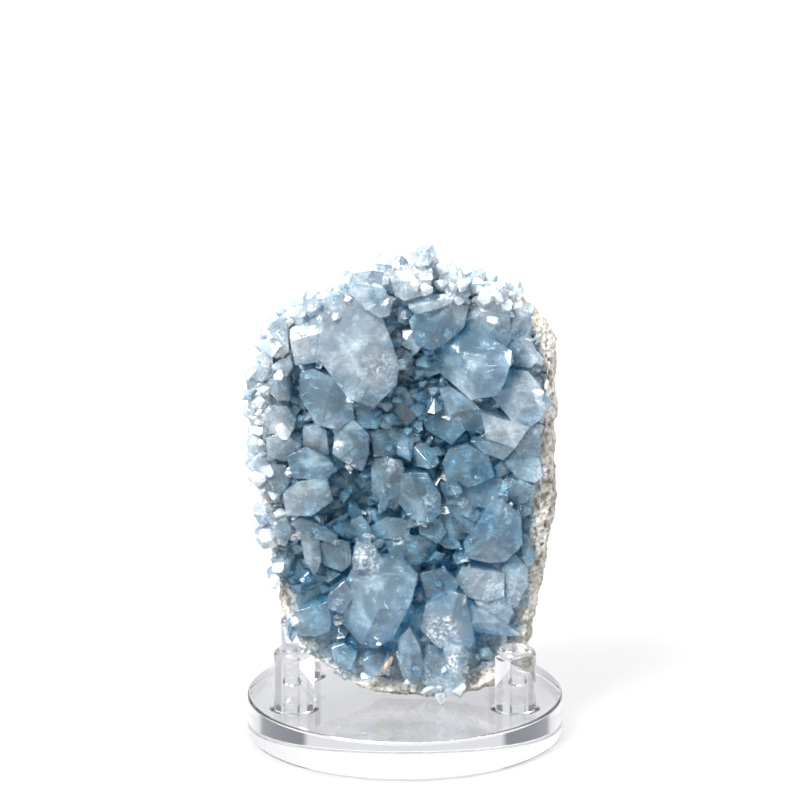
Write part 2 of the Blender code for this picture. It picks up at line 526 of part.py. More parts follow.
def small_outline(across, up, size, chance):
    """Outline of a small crystal: an uneven ring of five or six corners."""
    corners = chance.choice((5, 6))
    turn = chance.uniform(0.0, math.tau)
    stretch = chance.uniform(0.65, 1.0)
    axis = chance.uniform(0.0, math.pi)
    outline = []
    for k in range(corners):
        angle = turn + math.tau * k / corners
        reach = size * chance.uniform(0.85, 1.1)
        along = reach * math.cos(angle)
        aside = reach * stretch * math.sin(angle)
        outline.append((across + along * math.cos(axis) - aside * math.sin(axis),
                        up + along * math.sin(axis) + aside * math.cos(axis)))
    return outline


def small_faces(stand, chance):
    """Two or three front faces that lean apart, like the edge of a chisel."""
    axis = chance.uniform(0.0, math.tau)
    steep = chance.uniform(0.35, 0.8)
    faces = []
    for k in range(chance.choice((2, 3))):
        angle = axis + math.tau * k / 3
        faces.append((stand, steep * math.cos(angle), steep * math.sin(angle)))
    return faces


def crystals_mesh():
    """Every crystal of the crust in one mesh, still overlapping."""
    chance = random.Random(SEED)
    joined = bmesh.new()
    bodies = [grow_crystal(outline, faces, chance) for outline, faces in CRYSTALS.values()]
    for index in range(RIM_CRYSTALS):
        place = OUTLINE[int(index * ROCK_SEGMENTS / RIM_CRYSTALS)]
        bare = place.z > 2.8
        inset = place.z + chance.uniform(1.5, 3.5) if bare else chance.uniform(0.0, 3.5)
        size = chance.uniform(1.8, 3.2)
        stand = chance.uniform(0.6, 2.4) if bare else chance.uniform(-0.5, 2.5)
        inward = Vector((CENTRE_X - place.x, CENTRE_Z - place.y)).normalized()
        across = place.x + inward.x * inset
        height = place.y + inward.y * inset
        up = height * COS_TILT + (face_y(height) - stand) * SIN_TILT
        if height > 24.0:
            outline = small_outline(across, up, size, chance)
            bodies.append(grow_crystal(outline, small_faces(stand, chance), chance))
    for index in range(BED_CRYSTALS):
        angle = math.tau * chance.random()
        share = 0.85 * math.sqrt(chance.random())
        place = OUTLINE[int(angle / math.tau * ROCK_SEGMENTS)]
        across = CENTRE_X + (place.x - CENTRE_X) * share
        height = CENTRE_Z + (place.y - CENTRE_Z) * share
        stand = -hollow_depth(BED_EDGE, BED_DEPTH, share) + chance.uniform(2.5, 6.0)
        up = height * COS_TILT + (face_y(height) - stand) * SIN_TILT
        if height > 12.0:
            outline = small_outline(across, up, chance.uniform(3.0, 5.0), chance)
            bodies.append(grow_crystal(outline, small_faces(stand, chance), chance))
    for body in bodies:
        piece = bpy.data.meshes.new("piece")
        body.to_mesh(piece)
        body.free()
        joined.from_mesh(piece)
        bpy.data.meshes.remove(piece)
    bmesh.ops.recalc_face_normals(joined, faces=joined.faces)
    return joined


def apply_boolean(obj, operand, operation):
    """Applies one exact boolean, leaves the plain result on the object and closes slivers."""
    modifier = obj.modifiers.new(operation.lower(), "BOOLEAN")
    modifier.object = operand
    modifier.operation = operation
    modifier.solver = "EXACT"
    modifier.use_self = True
    graph = bpy.context.evaluated_depsgraph_get()
    mesh = bpy.data.meshes.new_from_object(obj.evaluated_get(graph))
    obj.modifiers.remove(modifier)
    obj.data = mesh
    bm = bmesh.new()
    bm.from_mesh(mesh)
    bmesh.ops.remove_doubles(bm, verts=bm.verts, dist=SLIVER * MM)
    bm.to_mesh(mesh)
    bm.free()


def keep_largest(obj):
    """Drops loose crumbs that the cut leaves beside the main body."""
    bm = bmesh.new()
    bm.from_mesh(obj.data)
    groups = []
    seen = set()
    for vert in bm.verts:
        if vert in seen:
            continue
        group = []
        pending = [vert]
        seen.add(vert)
        while pending:
            current = pending.pop()
            group.append(current)
            for edge in current.link_edges:
                other = edge.other_vert(current)
                if other not in seen:
                    seen.add(other)
                    pending.append(other)
        groups.append(group)
    largest = max(groups, key=len)
    crumbs = [vert for group in groups if group is not largest for vert in group]
    bmesh.ops.delete(bm, geom=crumbs, context="VERTS")
    bm.to_mesh(obj.data)
    bm.free()


def build_stand(mat):
    """Acrylic disc and the four rods that hold the geode upright."""
    round_rod("base_disc", DISC_DIAMETER / 2, DISC_THICKNESS, DISC_SIDES, (0.0, 0.0, 0.0),
              DISC_CHAMFER, 1, True, mat)
    pegs = {
        "peg_front_left": (-PEG_SPREAD_FRONT, -PEG_ROW),
        "peg_front_right": (PEG_SPREAD_FRONT, -PEG_ROW),
        "peg_back_left": (-PEG_SPREAD_BACK, PEG_ROW),
        "peg_back_right": (PEG_SPREAD_BACK, PEG_ROW),
    }
    for name, (x, y) in pegs.items():
        round_rod(name, PEG_DIAMETER / 2, PEG_HEIGHT - GAP, PEG_SIDES, (x, y, PLATE_TOP + GAP),
                  PEG_ROUNDING, 2, False, mat.copy())


def build_geode():
    """The rock, and the crust of crystals fitted into it."""
    rock = add_object("rock_matrix", rock_mesh(), material("rock", ROCK_COLOUR, 0.9, 0.0, 1.5))
    crystal = material("celestite", CRYSTAL_COLOUR, 0.1, 0.75, 1.62)
    crust = add_object("crystal_crust", bed_mesh(), crystal)
    crystals = add_object("crystals_operand", crystals_mesh(), crystal)
    apply_boolean(crust, crystals, "UNION")

    cutter = bmesh.new()
    cutter.from_mesh(rock.data)
    cutter.normal_update()
    for vert in cutter.verts:
        vert.co += vert.normal * (GAP + 0.05) * MM
    swollen = bpy.data.meshes.new("rock_cutter")
    cutter.to_mesh(swollen)
    cutter.free()
    helper = bpy.data.objects.new("rock_cutter", swollen)
    bpy.context.scene.collection.objects.link(helper)
    apply_boolean(crust, helper, "DIFFERENCE")
    keep_largest(crust)
    for obj in (crystals, helper):
        bpy.data.objects.remove(obj, do_unlink=True)


build_stand(material("acrylic", ACRYLIC_COLOUR, 0.04, 1.0, 1.49))
build_geode()
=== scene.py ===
# %% [markdown]
# # A celestite geode on a clear stand
#
# The object is half of a geode: a lump of limy rock with a hollow that celestite has filled
# with pale blue crystals. It stands on a round clear acrylic disc, between four short rods.
#
# The imported model gives the shape of every piece at its real size. This script gives the
# pieces their looks, in this order:
#
# 1. the camera, the light and the floor
# 2. the acrylic stand
# 3. the rock, with its grain and pits
# 4. the crust of crystals, as clear solids that take their colour from their own depth, with
#    painted shade in the gaps and painted highlights on their edges
# 5. the small things that repeat: sugary crystals on the rim, small crystals in the gaps and
#    veils inside the crystals
# 6. the tan shard

# %% Load the frame
import math
import random

import bmesh
import bpy
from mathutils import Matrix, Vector, noise
from mathutils.bvhtree import BVHTree


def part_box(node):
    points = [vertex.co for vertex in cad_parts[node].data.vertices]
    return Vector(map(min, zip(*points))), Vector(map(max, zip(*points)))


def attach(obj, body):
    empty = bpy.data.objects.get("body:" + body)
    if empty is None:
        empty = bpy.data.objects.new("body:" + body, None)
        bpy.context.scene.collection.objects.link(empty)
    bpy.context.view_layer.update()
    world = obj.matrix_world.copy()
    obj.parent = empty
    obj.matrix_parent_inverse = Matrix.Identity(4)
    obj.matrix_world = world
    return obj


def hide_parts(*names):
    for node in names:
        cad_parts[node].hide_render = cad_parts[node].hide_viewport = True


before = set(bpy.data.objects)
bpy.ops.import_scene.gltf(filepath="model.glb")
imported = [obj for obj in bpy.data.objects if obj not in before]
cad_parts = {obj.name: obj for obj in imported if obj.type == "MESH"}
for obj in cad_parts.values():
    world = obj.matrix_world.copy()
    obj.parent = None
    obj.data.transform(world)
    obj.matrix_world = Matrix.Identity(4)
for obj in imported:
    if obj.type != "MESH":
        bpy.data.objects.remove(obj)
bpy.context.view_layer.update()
MM = 0.001
noise.seed_set(4)
print("nodes:", sorted(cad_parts))

# %% [markdown]
# ## The camera
#
# The photo looks down on the object by 18 degrees, from far off: the disc's two rims have
# nearly the same width, and its front drops no lower in the picture than a flat projection
# puts it. So the lens is very long. The camera aims at a point above the middle of the disc,
# and the lens is chosen so that the disc's 100 mm fill as much of the picture as they do in
# the photo.

# %% Camera
ELEVATION = math.radians(18.0)
DISTANCE = 6.0
PIXELS_PER_MM = 3.15
PICTURE = 800
DISC_CENTRE_PX = (404.8, 691.5)
PLATE_TOP = 12.8 * MM

forward = Vector((0.0, math.cos(ELEVATION), -math.sin(ELEVATION)))
upward = Vector((0.0, math.sin(ELEVATION), math.cos(ELEVATION)))


def place_camera():
    """Camera whose picture puts the disc's top at its pixel in the photo."""
    across = (PICTURE / 2 - DISC_CENTRE_PX[0]) / PIXELS_PER_MM * MM
    rise = (DISC_CENTRE_PX[1] - PICTURE / 2) / PIXELS_PER_MM * MM
    aim = Vector((across, 0.0, PLATE_TOP)) + upward * rise
    data = bpy.data.cameras.new("camera")
    data.sensor_width = 36.0
    data.lens = PIXELS_PER_MM / MM * DISTANCE / PICTURE * data.sensor_width
    data.clip_end = 100.0
    camera = bpy.data.objects.new("camera", data)
    camera.location = aim - forward * DISTANCE
    camera.rotation_euler = (math.pi / 2 - ELEVATION, 0.0, 0.0)
    bpy.context.scene.collection.objects.link(camera)
    bpy.context.scene.camera = camera
    return camera


camera = place_camera()
print("lens %.0f mm at %s" % (camera.data.lens, tuple(round(c, 3) for c in camera.location)))

# %% [markdown]
# ## Light and floor
#
# The photo is a studio shot on white: the light comes from all round, a little stronger from
# above and from the left, and the floor is as white as the background. Clear things need
# something darker to bend and reflect, or their edges vanish. A disc of acrylic is a lens: near
# its two ends it shows what stands low behind it on either side. The photo has a grey band
# there, so the white sky has two dark windows behind the object, and a dimmer room in front.

# %% Light and floor
SKY_BRIGHT = (1.0, 1.0, 1.0, 1.0)
SKY_ROOM = (0.62, 0.64, 0.66, 1.0)
SKY_BACK = (0.76, 0.77, 0.80, 1.0)
SKY_DARK = (0.20, 0.21, 0.24, 1.0)
KEY_LIGHT = {"place": (-1.65, -1.95, 2.85), "aim": (0.0, 0.0, 0.08), "size": 1.80, "watts": 305.0}
TOP_LIGHT = {"place": (0.45, 0.90, 3.0), "aim": (0.0, 0.0, 0.10), "size": 1.5, "watts": 105.0}
FLOOR_SIZE = 20.0
FLOOR_DROP = 0.0002
FLOOR_COLOUR = (0.22, 0.22, 0.225, 1.0)
FLOOR_GLOW = 0.45
INNER_BOUNCES = 16


def node(tree, kind, **values):
    """Adds a shader node and sets its properties or input sockets by name."""
    new = tree.nodes.new(kind)
    for name, value in values.items():
        if name in new.bl_rna.properties:
            setattr(new, name, value)
        else:
            new.inputs[name.replace("_", " ")].default_value = value
    return new


def mix_colour(tree, factor, first, second):
    """Colour mix fed by sockets or plain colours. Gives its output."""
    new = node(tree, "ShaderNodeMix", data_type="RGBA")
    for name, value in (("Factor", factor), ("A", first), ("B", second)):
        target = [s for s in new.inputs if s.name == name and s.enabled][0]
        if isinstance(value, bpy.types.NodeSocket):
            tree.links.new(value, target)
        else:
            target.default_value = value
    return [s for s in new.outputs if s.enabled][0]


def window(tree, *limits):
    """Soft mask: 1 where every direction value has passed the end of its range."""
    whole = None
    for value, (start, end) in limits:
        mask = node(tree, "ShaderNodeMapRange", interpolation_type="SMOOTHSTEP",
                    From_Min=start, From_Max=end)
        tree.links.new(value, mask.inputs["Value"])
        if whole is None:
            whole = mask.outputs["Result"]
            continue
        both = node(tree, "ShaderNodeMath", operation="MULTIPLY")
        tree.links.new(whole, both.inputs[0])
        tree.links.new(mask.outputs["Result"], both.inputs[1])
        whole = both.outputs[0]
    return whole


def light_world():
    """White sky, dim room behind the camera, two dark windows low behind the object."""
    world = bpy.data.worlds.new("studio")
    bpy.context.scene.world = world
    world.use_nodes = True
    tree = world.node_tree
    background = tree.nodes["Background"]
    background.inputs["Strength"].default_value = 1.0
    place = node(tree, "ShaderNodeTexCoord")
    split = node(tree, "ShaderNodeSeparateXYZ")
    aside = node(tree, "ShaderNodeMath", operation="ABSOLUTE")
    link = tree.links.new
    link(place.outputs["Generated"], split.inputs[0])
    link(split.outputs["X"], aside.inputs[0])
    room = window(tree, (split.outputs["Y"], (-0.15, -0.65)), (split.outputs["Z"], (0.60, 0.25)))
    sides = window(tree, (aside.outputs[0], (0.44, 0.49)), (aside.outputs[0], (0.84, 0.78)),
                   (split.outputs["Y"], (0.0, 0.1)), (split.outputs["Z"], (0.56, 0.48)))
    back = window(tree, (split.outputs["Y"], (0.2, 0.5)), (split.outputs["Z"], (0.60, 0.40)))
    sky = mix_colour(tree, room, SKY_BRIGHT, SKY_ROOM)
    sky = mix_colour(tree, back, sky, SKY_BACK)
    sky = mix_colour(tree, sides, sky, SKY_DARK)
    link(sky, background.inputs["Color"])


def area_light(name, place, aim, size, watts):
    """Soft square light that faces a point."""
    data = bpy.data.lights.new(name, "AREA")
    data.shape = "SQUARE"
    data.size = size
    data.energy = watts
    lamp = bpy.data.objects.new(name, data)
    lamp.location = place
    lamp.rotation_euler = (Vector(aim) - Vector(place)).to_track_quat("-Z", "Y").to_euler()
    bpy.context.scene.collection.objects.link(lamp)


def make_floor():
    """Large pale floor under the object."""
    bm = bmesh.new()
    bmesh.ops.create_grid(bm, x_segments=1, y_segments=1, size=FLOOR_SIZE)
    mesh = bpy.data.meshes.new("floor")
    bm.to_mesh(mesh)
    bm.free()
    floor = bpy.data.objects.new("floor", mesh)
    floor.location = (0.0, 0.0, -FLOOR_DROP)
    bpy.context.scene.collection.objects.link(floor)
    paint = bpy.data.materials.new("floor_white")
    paint.use_nodes = True
    shader = paint.node_tree.nodes["Principled BSDF"]
    shader.inputs["Base Color"].default_value = FLOOR_COLOUR
    shader.inputs["Roughness"].default_value = 0.5
    shader.inputs["Emission Color"].default_value = (1.0, 1.0, 1.0, 1.0)
    shader.inputs["Emission Strength"].default_value = FLOOR_GLOW
    mesh.materials.append(paint)


def let_light_bounce():
    """Light in a clear solid is reflected many times from inside before it comes out."""
    cycles = bpy.context.scene.cycles
    cycles.max_bounces = INNER_BOUNCES
    cycles.glossy_bounces = INNER_BOUNCES
    cycles.transmission_bounces = INNER_BOUNCES


bpy.context.scene.view_settings.view_transform = "Standard"
let_light_bounce()
light_world()
area_light("key", **KEY_LIGHT)
area_light("top", **TOP_LIGHT)
make_floor()
print("world, two lights and the floor are in place")

# %% [markdown]
# ## Helpers for meshes
#
# Every piece starts as a mesh in metres at the origin, in the model's frame. The crystals and
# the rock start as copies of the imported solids, so they sit where the model says.

# %% Mesh helpers


def clamped(value):
    """The value kept between 0 and 1."""
    return min(max(value, 0.0), 1.0)


def new_piece(name, bm, material, smooth):
    """Turns a bmesh in metres into a named object at the origin."""
    mesh = bpy.data.meshes.new(name)
    bm.to_mesh(mesh)
    bm.free()
    mesh.materials.append(material)
    if smooth:
        mesh.shade_smooth()
    else:
        mesh.shade_flat()
    piece = bpy.data.objects.new(name, mesh)
    bpy.context.scene.collection.objects.link(piece)
    return piece


def solid_copy(name):
    """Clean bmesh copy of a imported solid."""
    bm = bmesh.new()
    bm.from_mesh(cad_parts[name].data)
    bmesh.ops.remove_doubles(bm, verts=bm.verts, dist=1e-6)
    bmesh.ops.recalc_face_normals(bm, faces=bm.faces)
    return bm


def baked(piece):
    """Applies every modifier of a piece to its mesh."""
    graph = bpy.context.evaluated_depsgraph_get()
    mesh = bpy.data.meshes.new_from_object(piece.evaluated_get(graph))
    piece.modifiers.clear()
    piece.data = mesh
    return piece


def lathe(profile, sides, centre):
    """Closed body turned from (radius, height) points that start and end on the axis."""
    bm = bmesh.new()
    rings = []
    for radius, height in profile:
        count = sides if radius > 0.0 else 1
        rings.append([bm.verts.new((centre[0] + radius * math.cos(math.tau * k / sides),
                                    centre[1] + radius * math.sin(math.tau * k / sides),
                                    height)) for k in range(count)])
    for lower, upper in zip(rings, rings[1:]):
        for k in range(sides):
            ring = [lower[k % len(lower)], lower[(k + 1) % len(lower)],
                    upper[(k + 1) % len(upper)], upper[k % len(upper)]]
            bm.faces.new(list(dict.fromkeys(ring)))
    bmesh.ops.recalc_face_normals(bm, faces=bm.faces)
    return bm


def arc(centre, radius, start, end, steps):
    """Points (radius, height) on an arc, angles in degrees."""
    points = []
    for k in range(steps + 1):
        angle = math.radians(start + (end - start) * k / steps)
        points.append((centre[0] + radius * math.cos(angle),
                       centre[1] + radius * math.sin(angle)))
    return points


print("mesh helpers ready")

# %% [markdown]
# ## The acrylic stand
#
# The real stand is a disc cut from 13 mm clear acrylic, with rods glued upright on it. In the
# photo a rod's foot is bright, as a mirror is: light doesn't run on into the disc. So the rods
# could be joined to the disc in one solid, but that makes their feet dark. Here each rod is a
# turned body of its own, a hair above the disc, with a thin ring of glue round its foot.
#
# A clear wall is a lens, so smooth shading must not bend its flat parts. Each flat stretch of
# a profile gets an extra ring just before the rounding, and the rounding alone is smoothed.

# %% Acrylic stand
DISC_RADIUS = 50.0 * MM
DISC_EDGE = 0.9 * MM
ROD_RADIUS = 6.55 * MM
ROD_ROUNDING = 2.8 * MM
ROD_TOP = PLATE_TOP + 20.3 * MM
GLUE_RADIUS = 7.9 * MM
GLUE_HEIGHT = 0.35 * MM
GLUE_SLOPE = 0.8 * MM
ROD_FOOT = PLATE_TOP + 0.05 * MM
DISC_SIDES = 160
ROD_SIDES = 64
ARC_STEPS = 16
ACRYLIC_COLOUR = (0.955, 0.958, 0.972, 1.0)
ACRYLIC_IOR = 1.49
FLAT_MARGIN = 0.4 * MM
SMOOTH_UP_TO = math.radians(6.5)
RODS = {
    "front_left": (-35.0 * MM, -16.0 * MM),
    "front_right": (35.0 * MM, -16.0 * MM),
    "back_left": (-33.0 * MM, 16.0 * MM),
    "back_right": (33.0 * MM, 16.0 * MM),
}


def acrylic_material():
    """Clear polished acrylic."""
    mat = bpy.data.materials.new("clear_acrylic")
    mat.use_nodes = True
    tree = mat.node_tree
    shader = tree.nodes["Principled BSDF"]
    shader.inputs["Base Color"].default_value = ACRYLIC_COLOUR
    shader.inputs["Transmission Weight"].default_value = 1.0
    shader.inputs["IOR"].default_value = ACRYLIC_IOR
    place = node(tree, "ShaderNodeTexCoord")
    smear = node(tree, "ShaderNodeTexNoise", Scale=90.0, Detail=3.0)
    level = node(tree, "ShaderNodeMapRange", From_Min=0.4, From_Max=0.8,
                 To_Min=0.0, To_Max=0.03)
    tree.links.new(place.outputs["Object"], smear.inputs["Vector"])
    tree.links.new(smear.outputs["Fac"], level.inputs["Value"])
    tree.links.new(level.outputs["Result"], shader.inputs["Roughness"])
    return mat


def build_disc(mat):
    """Turned disc, flat above and below, with a polished edge."""
    inner = DISC_RADIUS - DISC_EDGE
    profile = [(0.0, 0.0), (inner - FLAT_MARGIN, 0.0)]
    profile += arc((inner, DISC_EDGE), DISC_EDGE, -90, 0, ARC_STEPS)
    profile += [(DISC_RADIUS, DISC_EDGE + FLAT_MARGIN),
                (DISC_RADIUS, PLATE_TOP - DISC_EDGE - FLAT_MARGIN)]
    profile += arc((inner, PLATE_TOP - DISC_EDGE), DISC_EDGE, 0, 90, ARC_STEPS)
    profile += [(inner - FLAT_MARGIN, PLATE_TOP), (0.0, PLATE_TOP)]
    return new_piece("clear_disc", lathe(profile, DISC_SIDES, (0.0, 0.0)), mat, True)


def build_rod(name, place, mat):
    """Rod with a rounded top, and a thin ring of glue round its foot."""
    inner = ROD_RADIUS - ROD_ROUNDING
    profile = [(0.0, ROD_FOOT), (GLUE_RADIUS, ROD_FOOT),
               (GLUE_RADIUS - GLUE_SLOPE, ROD_FOOT + 0.5 * GLUE_HEIGHT),
               (ROD_RADIUS, ROD_FOOT + GLUE_HEIGHT),
               (ROD_RADIUS, ROD_FOOT + GLUE_HEIGHT + FLAT_MARGIN),
               (ROD_RADIUS, ROD_TOP - ROD_ROUNDING - FLAT_MARGIN)]
    profile += arc((inner, ROD_TOP - ROD_ROUNDING), ROD_ROUNDING, 0, 90, ARC_STEPS)
    profile += [(inner - FLAT_MARGIN, ROD_TOP), (0.0, ROD_TOP)]
    return new_piece("clear_rod_" + name, lathe(profile, ROD_SIDES, place), mat, True)


acrylic = acrylic_material()
disc = build_disc(acrylic)
rods = {name: build_rod(name, place, acrylic) for name, place in RODS.items()}
for piece in (disc, *rods.values()):
    piece.data.set_sharp_from_angle(angle=SMOOTH_UP_TO)
    print(piece.name, len(piece.data.polygons), "faces")

# %% [markdown]
# ## The rock
#
# The host rock is a pale, limy, granular stone. Its broken rim shows at the right and along
# the bottom, full of grains and small dark pits. The back is the weathered outside of the
# nodule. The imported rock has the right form, so it is subdivided, and every point is moved
# along its normal by lumps, by grains of about a millimetre and by sparse pits.

# %% Rock material
ROCK_DARK = (0.33, 0.31, 0.28, 1.0)
ROCK_MIDDLE = (0.54, 0.52, 0.47, 1.0)
ROCK_PALE = (0.70, 0.68, 0.64, 1.0)
ROCK_SPECK = (0.35, 0.31, 0.27, 1.0)
# The colour painted into the pits is painted shade.
PIT_SHADE = (0.31, 0.28, 0.24, 1.0)
HOLLOW_FLOOR = (0.58, 0.62, 0.63, 1.0)
WEATHERED = (0.66, 0.59, 0.50, 1.0)


def rock_material():
    """Limy rock: cream and grey grains, brown stains, painted shade in the pits, pale floor of the
    hollow.
    """
    mat = bpy.data.materials.new("limy_rock")
    mat.use_nodes = True
    tree = mat.node_tree
    link = tree.links.new
    shader = tree.nodes["Principled BSDF"]
    shader.inputs["Roughness"].default_value = 0.85
    place = node(tree, "ShaderNodeTexCoord")
    blotch = node(tree, "ShaderNodeTexNoise", Scale=60.0, Detail=5.0, Roughness=0.6)
    grain = node(tree, "ShaderNodeTexVoronoi", Scale=900.0)
    grey = node(tree, "ShaderNodeRGBToBW")
    speck = node(tree, "ShaderNodeTexNoise", Scale=1300.0, Detail=3.0)
    base = node(tree, "ShaderNodeValToRGB")
    ramp = base.color_ramp
    ramp.elements[0].position = 0.30
    ramp.elements[0].color = ROCK_DARK
    ramp.elements[1].position = 0.70
    ramp.elements[1].color = ROCK_PALE
    middle = ramp.elements.new(0.47)
    middle.color = ROCK_MIDDLE
    grains = node(tree, "ShaderNodeMix", data_type="RGBA", blend_type="OVERLAY")
    grains.inputs["Factor"].default_value = 0.55
    specks = node(tree, "ShaderNodeMix", data_type="RGBA", blend_type="MULTIPLY")
    specks.inputs["Factor"].default_value = 0.8
    speck_ramp = node(tree, "ShaderNodeValToRGB")
    speck_ramp.color_ramp.elements[0].position = 0.34
    speck_ramp.color_ramp.elements[0].color = ROCK_SPECK
    speck_ramp.color_ramp.elements[1].position = 0.46
    speck_ramp.color_ramp.elements[1].color = (1.0, 1.0, 1.0, 1.0)
    # Painted shade: the pits are painted darker where no crystal covers them.
    pit = node(tree, "ShaderNodeAttribute", attribute_name="pit")
    shaded_pits = node(tree, "ShaderNodeMix", data_type="RGBA")
    shaded_pits.inputs["B"].default_value = PIT_SHADE
    hollow = node(tree, "ShaderNodeAttribute", attribute_name="hollow")
    floor = node(tree, "ShaderNodeMix", data_type="RGBA")
    floor.inputs["B"].default_value = HOLLOW_FLOOR
    skin = node(tree, "ShaderNodeAttribute", attribute_name="skin")
    weathered = node(tree, "ShaderNodeMix", data_type="RGBA", blend_type="MULTIPLY")
    weathered.inputs["B"].default_value = WEATHERED
    bump = node(tree, "ShaderNodeBump", Strength=0.9, Distance=0.0006)
    for texture in (blotch, grain, speck):
        link(place.outputs["Object"], texture.inputs["Vector"])
    link(blotch.outputs["Fac"], base.inputs["Fac"])
    link(base.outputs["Color"], grains.inputs["A"])
    link(grain.outputs["Color"], grey.inputs["Color"])
    link(grey.outputs["Val"], grains.inputs["B"])
    link(speck.outputs["Fac"], speck_ramp.inputs["Fac"])
    link(grains.outputs["Result"], specks.inputs["A"])
    link(speck_ramp.outputs["Color"], specks.inputs["B"])
    link(specks.outputs["Result"], shaded_pits.inputs["A"])
    link(pit.outputs["Fac"], shaded_pits.inputs["Factor"])
    link(shaded_pits.outputs["Result"], floor.inputs["A"])
    link(hollow.outputs["Fac"], floor.inputs["Factor"])
    link(floor.outputs["Result"], weathered.inputs["A"])
    link(skin.outputs["Fac"], weathered.inputs["Factor"])
    link(weathered.outputs["Result"], shader.inputs["Base Color"])
    link(speck.outputs["Fac"], bump.inputs["Height"])
    link(bump.outputs["Normal"], shader.inputs["Normal"])
    return mat


limy_rock = rock_material()
print("rock material:", len(limy_rock.node_tree.nodes), "nodes")

# %% [markdown]
# ## The rock's surface
#
# Three kinds of bump make the stone: soft lumps, round coarse grains and fine grains, all from
# noise in space. Pits come in clusters, where a slow noise lets them. Where the crystals cover
# the rock it stays calm, so that it doesn't push through them. Each point also carries how
# deep its pit is, how covered it is and how weathered, for the material, which paints the pits
# darker: painted shade.

# %% Rock surface
ROCK_LEVELS = 3
ROCK_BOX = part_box("rock_matrix")
LUMP_SIZE = 7.0 * MM
GRAIN_SIZE = 1.7 * MM
COARSE_SIZE = 4.2 * MM
PIT_SIZE = 1.9 * MM
PATCH_SIZE = 11.0 * MM
SKIN_START = 2.0 * MM
SKIN_BLEND = 6.0 * MM


def rim_measure(point):
    """0 at the middle of the crystal face and 1 at the rock's outline."""
    low, high = ROCK_BOX
    across = (point.x - (low.x + high.x) / 2) / ((high.x - low.x) / 2)
    up = (point.z - (low.z + high.z) / 2) / ((high.z - low.z) / 2)
    return (abs(across) ** 3.2 + abs(up) ** 3.2) ** (1 / 3.2)


def build_rock():
    """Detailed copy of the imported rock."""
    rock = new_piece("rock", solid_copy("rock_matrix"), limy_rock, True)
    finer = rock.modifiers.new("finer", "SUBSURF")
    finer.subdivision_type = "SIMPLE"
    finer.levels = ROCK_LEVELS
    finer.render_levels = ROCK_LEVELS
    baked(rock)
    smooth = rock.modifiers.new("smooth", "SMOOTH")
    smooth.factor = 0.5
    smooth.iterations = 6
    baked(rock)
    crust_tree = BVHTree.FromPolygons(
        [v.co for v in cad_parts["crystal_crust"].data.vertices],
        [tuple(p.vertices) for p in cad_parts["crystal_crust"].data.polygons])
    mesh = rock.data
    for name in ("pit", "hollow", "skin"):
        mesh.attributes.new(name, "FLOAT", "POINT")
    pit, hollow, skin = (mesh.attributes[name].data for name in ("pit", "hollow", "skin"))
    normals = [vert.normal.copy() for vert in mesh.vertices]
    for vert, normal in zip(mesh.vertices, normals):
        point = vert.co
        near = crust_tree.find_nearest(point)[3] / MM
        covered = 1.0 - clamped((near - 0.6) / 1.2)
        lump = noise.fractal(point / LUMP_SIZE, 0.8, 2.1, 3)
        grain = noise.voronoi(point / GRAIN_SIZE)[0][0]
        coarse = noise.voronoi(point / COARSE_SIZE + Vector((5.2, 1.1, 8.4)))[0][0]
        deep = noise.noise(point / PIT_SIZE + Vector((2.0, 7.0, 4.0)))
        patch = noise.noise(point / PATCH_SIZE + Vector((4.0, 3.0, 9.0)))
        hole = clamped((deep - 0.30 + 0.45 * patch) / 0.16)
        move = 0.7 * lump + 0.8 * (0.45 - grain) + 0.8 * (0.4 - coarse) - 1.2 * hole
        pit[vert.index].value = hole * (1.0 - covered)
        hollow[vert.index].value = covered
        outside = clamped((point.y - SKIN_START) / SKIN_BLEND)
        skin[vert.index].value = outside * clamped(0.8 + 0.6 * patch)
        calm = 0.85 - 0.5 * clamped((rim_measure(point) - 0.80) / 0.06)
        vert.co = point + normal * move * MM * (1.0 - calm * covered)
        vert.co.z = max(vert.co.z, PLATE_TOP + 0.05 * MM)
    mesh.update()
    return rock


rock = build_rock()
print("rock:", len(rock.data.polygons), "faces")

# %% [markdown]
# ## The crystals
#
# Celestite is clear. Its blue comes from depth: a thin edge is nearly white, and a thick
# crystal is teal. So the crust is a closed clear body with plain absorption inside. The gaps
# between crystals and the dark places noted below also get a dark teal painted in: painted
# shade. Where a crystal is frosted or cracked it is white, and such places are noted below
# from the photo, by the pixel where they lie.
#
# The imported crust has the facets. Its back is pushed into the rock, because real crystals
# grow on the rock with no air between, and an air gap would mirror. Its faces are cut into
# small triangles, so that each point can carry how frosted and how pale the crystal is there.

# %% Places noted on the photo
FROST_SPOTS = [
    # x, y, radius in pixels, strength
    (414, 262, 26, 0.35), (455, 278, 17, 0.75), (496, 294, 16, 0.85), (447, 300, 10, 0.9),
    (280, 337, 12, 0.6), (316, 310, 10, 0.7), (473, 315, 6, 0.8), (338, 445, 6, 0.9),
    (348, 464, 9, 0.6), (351, 404, 8, 0.6), (366, 556, 16, 0.8), (464, 504, 8, 0.7),
    (397, 539, 7, 0.7), (297, 622, 8, 0.7), (385, 365, 20, 0.55), (392, 465, 10, 0.6),
    (505, 511, 9, 0.6), (431, 500, 12, 0.5), (440, 632, 22, 0.75), (457, 662, 14, 0.8),
    (492, 595, 24, 0.5), (520, 600, 14, 0.5), (525, 310, 14, 0.5), (262, 400, 18, 0.7),
    (255, 470, 18, 0.7), (275, 545, 14, 0.6), (300, 330, 18, 0.35), (540, 470, 8, 0.5),
    (506, 430, 12, 0.25), (350, 300, 14, 0.3), (300, 440, 14, 0.35),
]
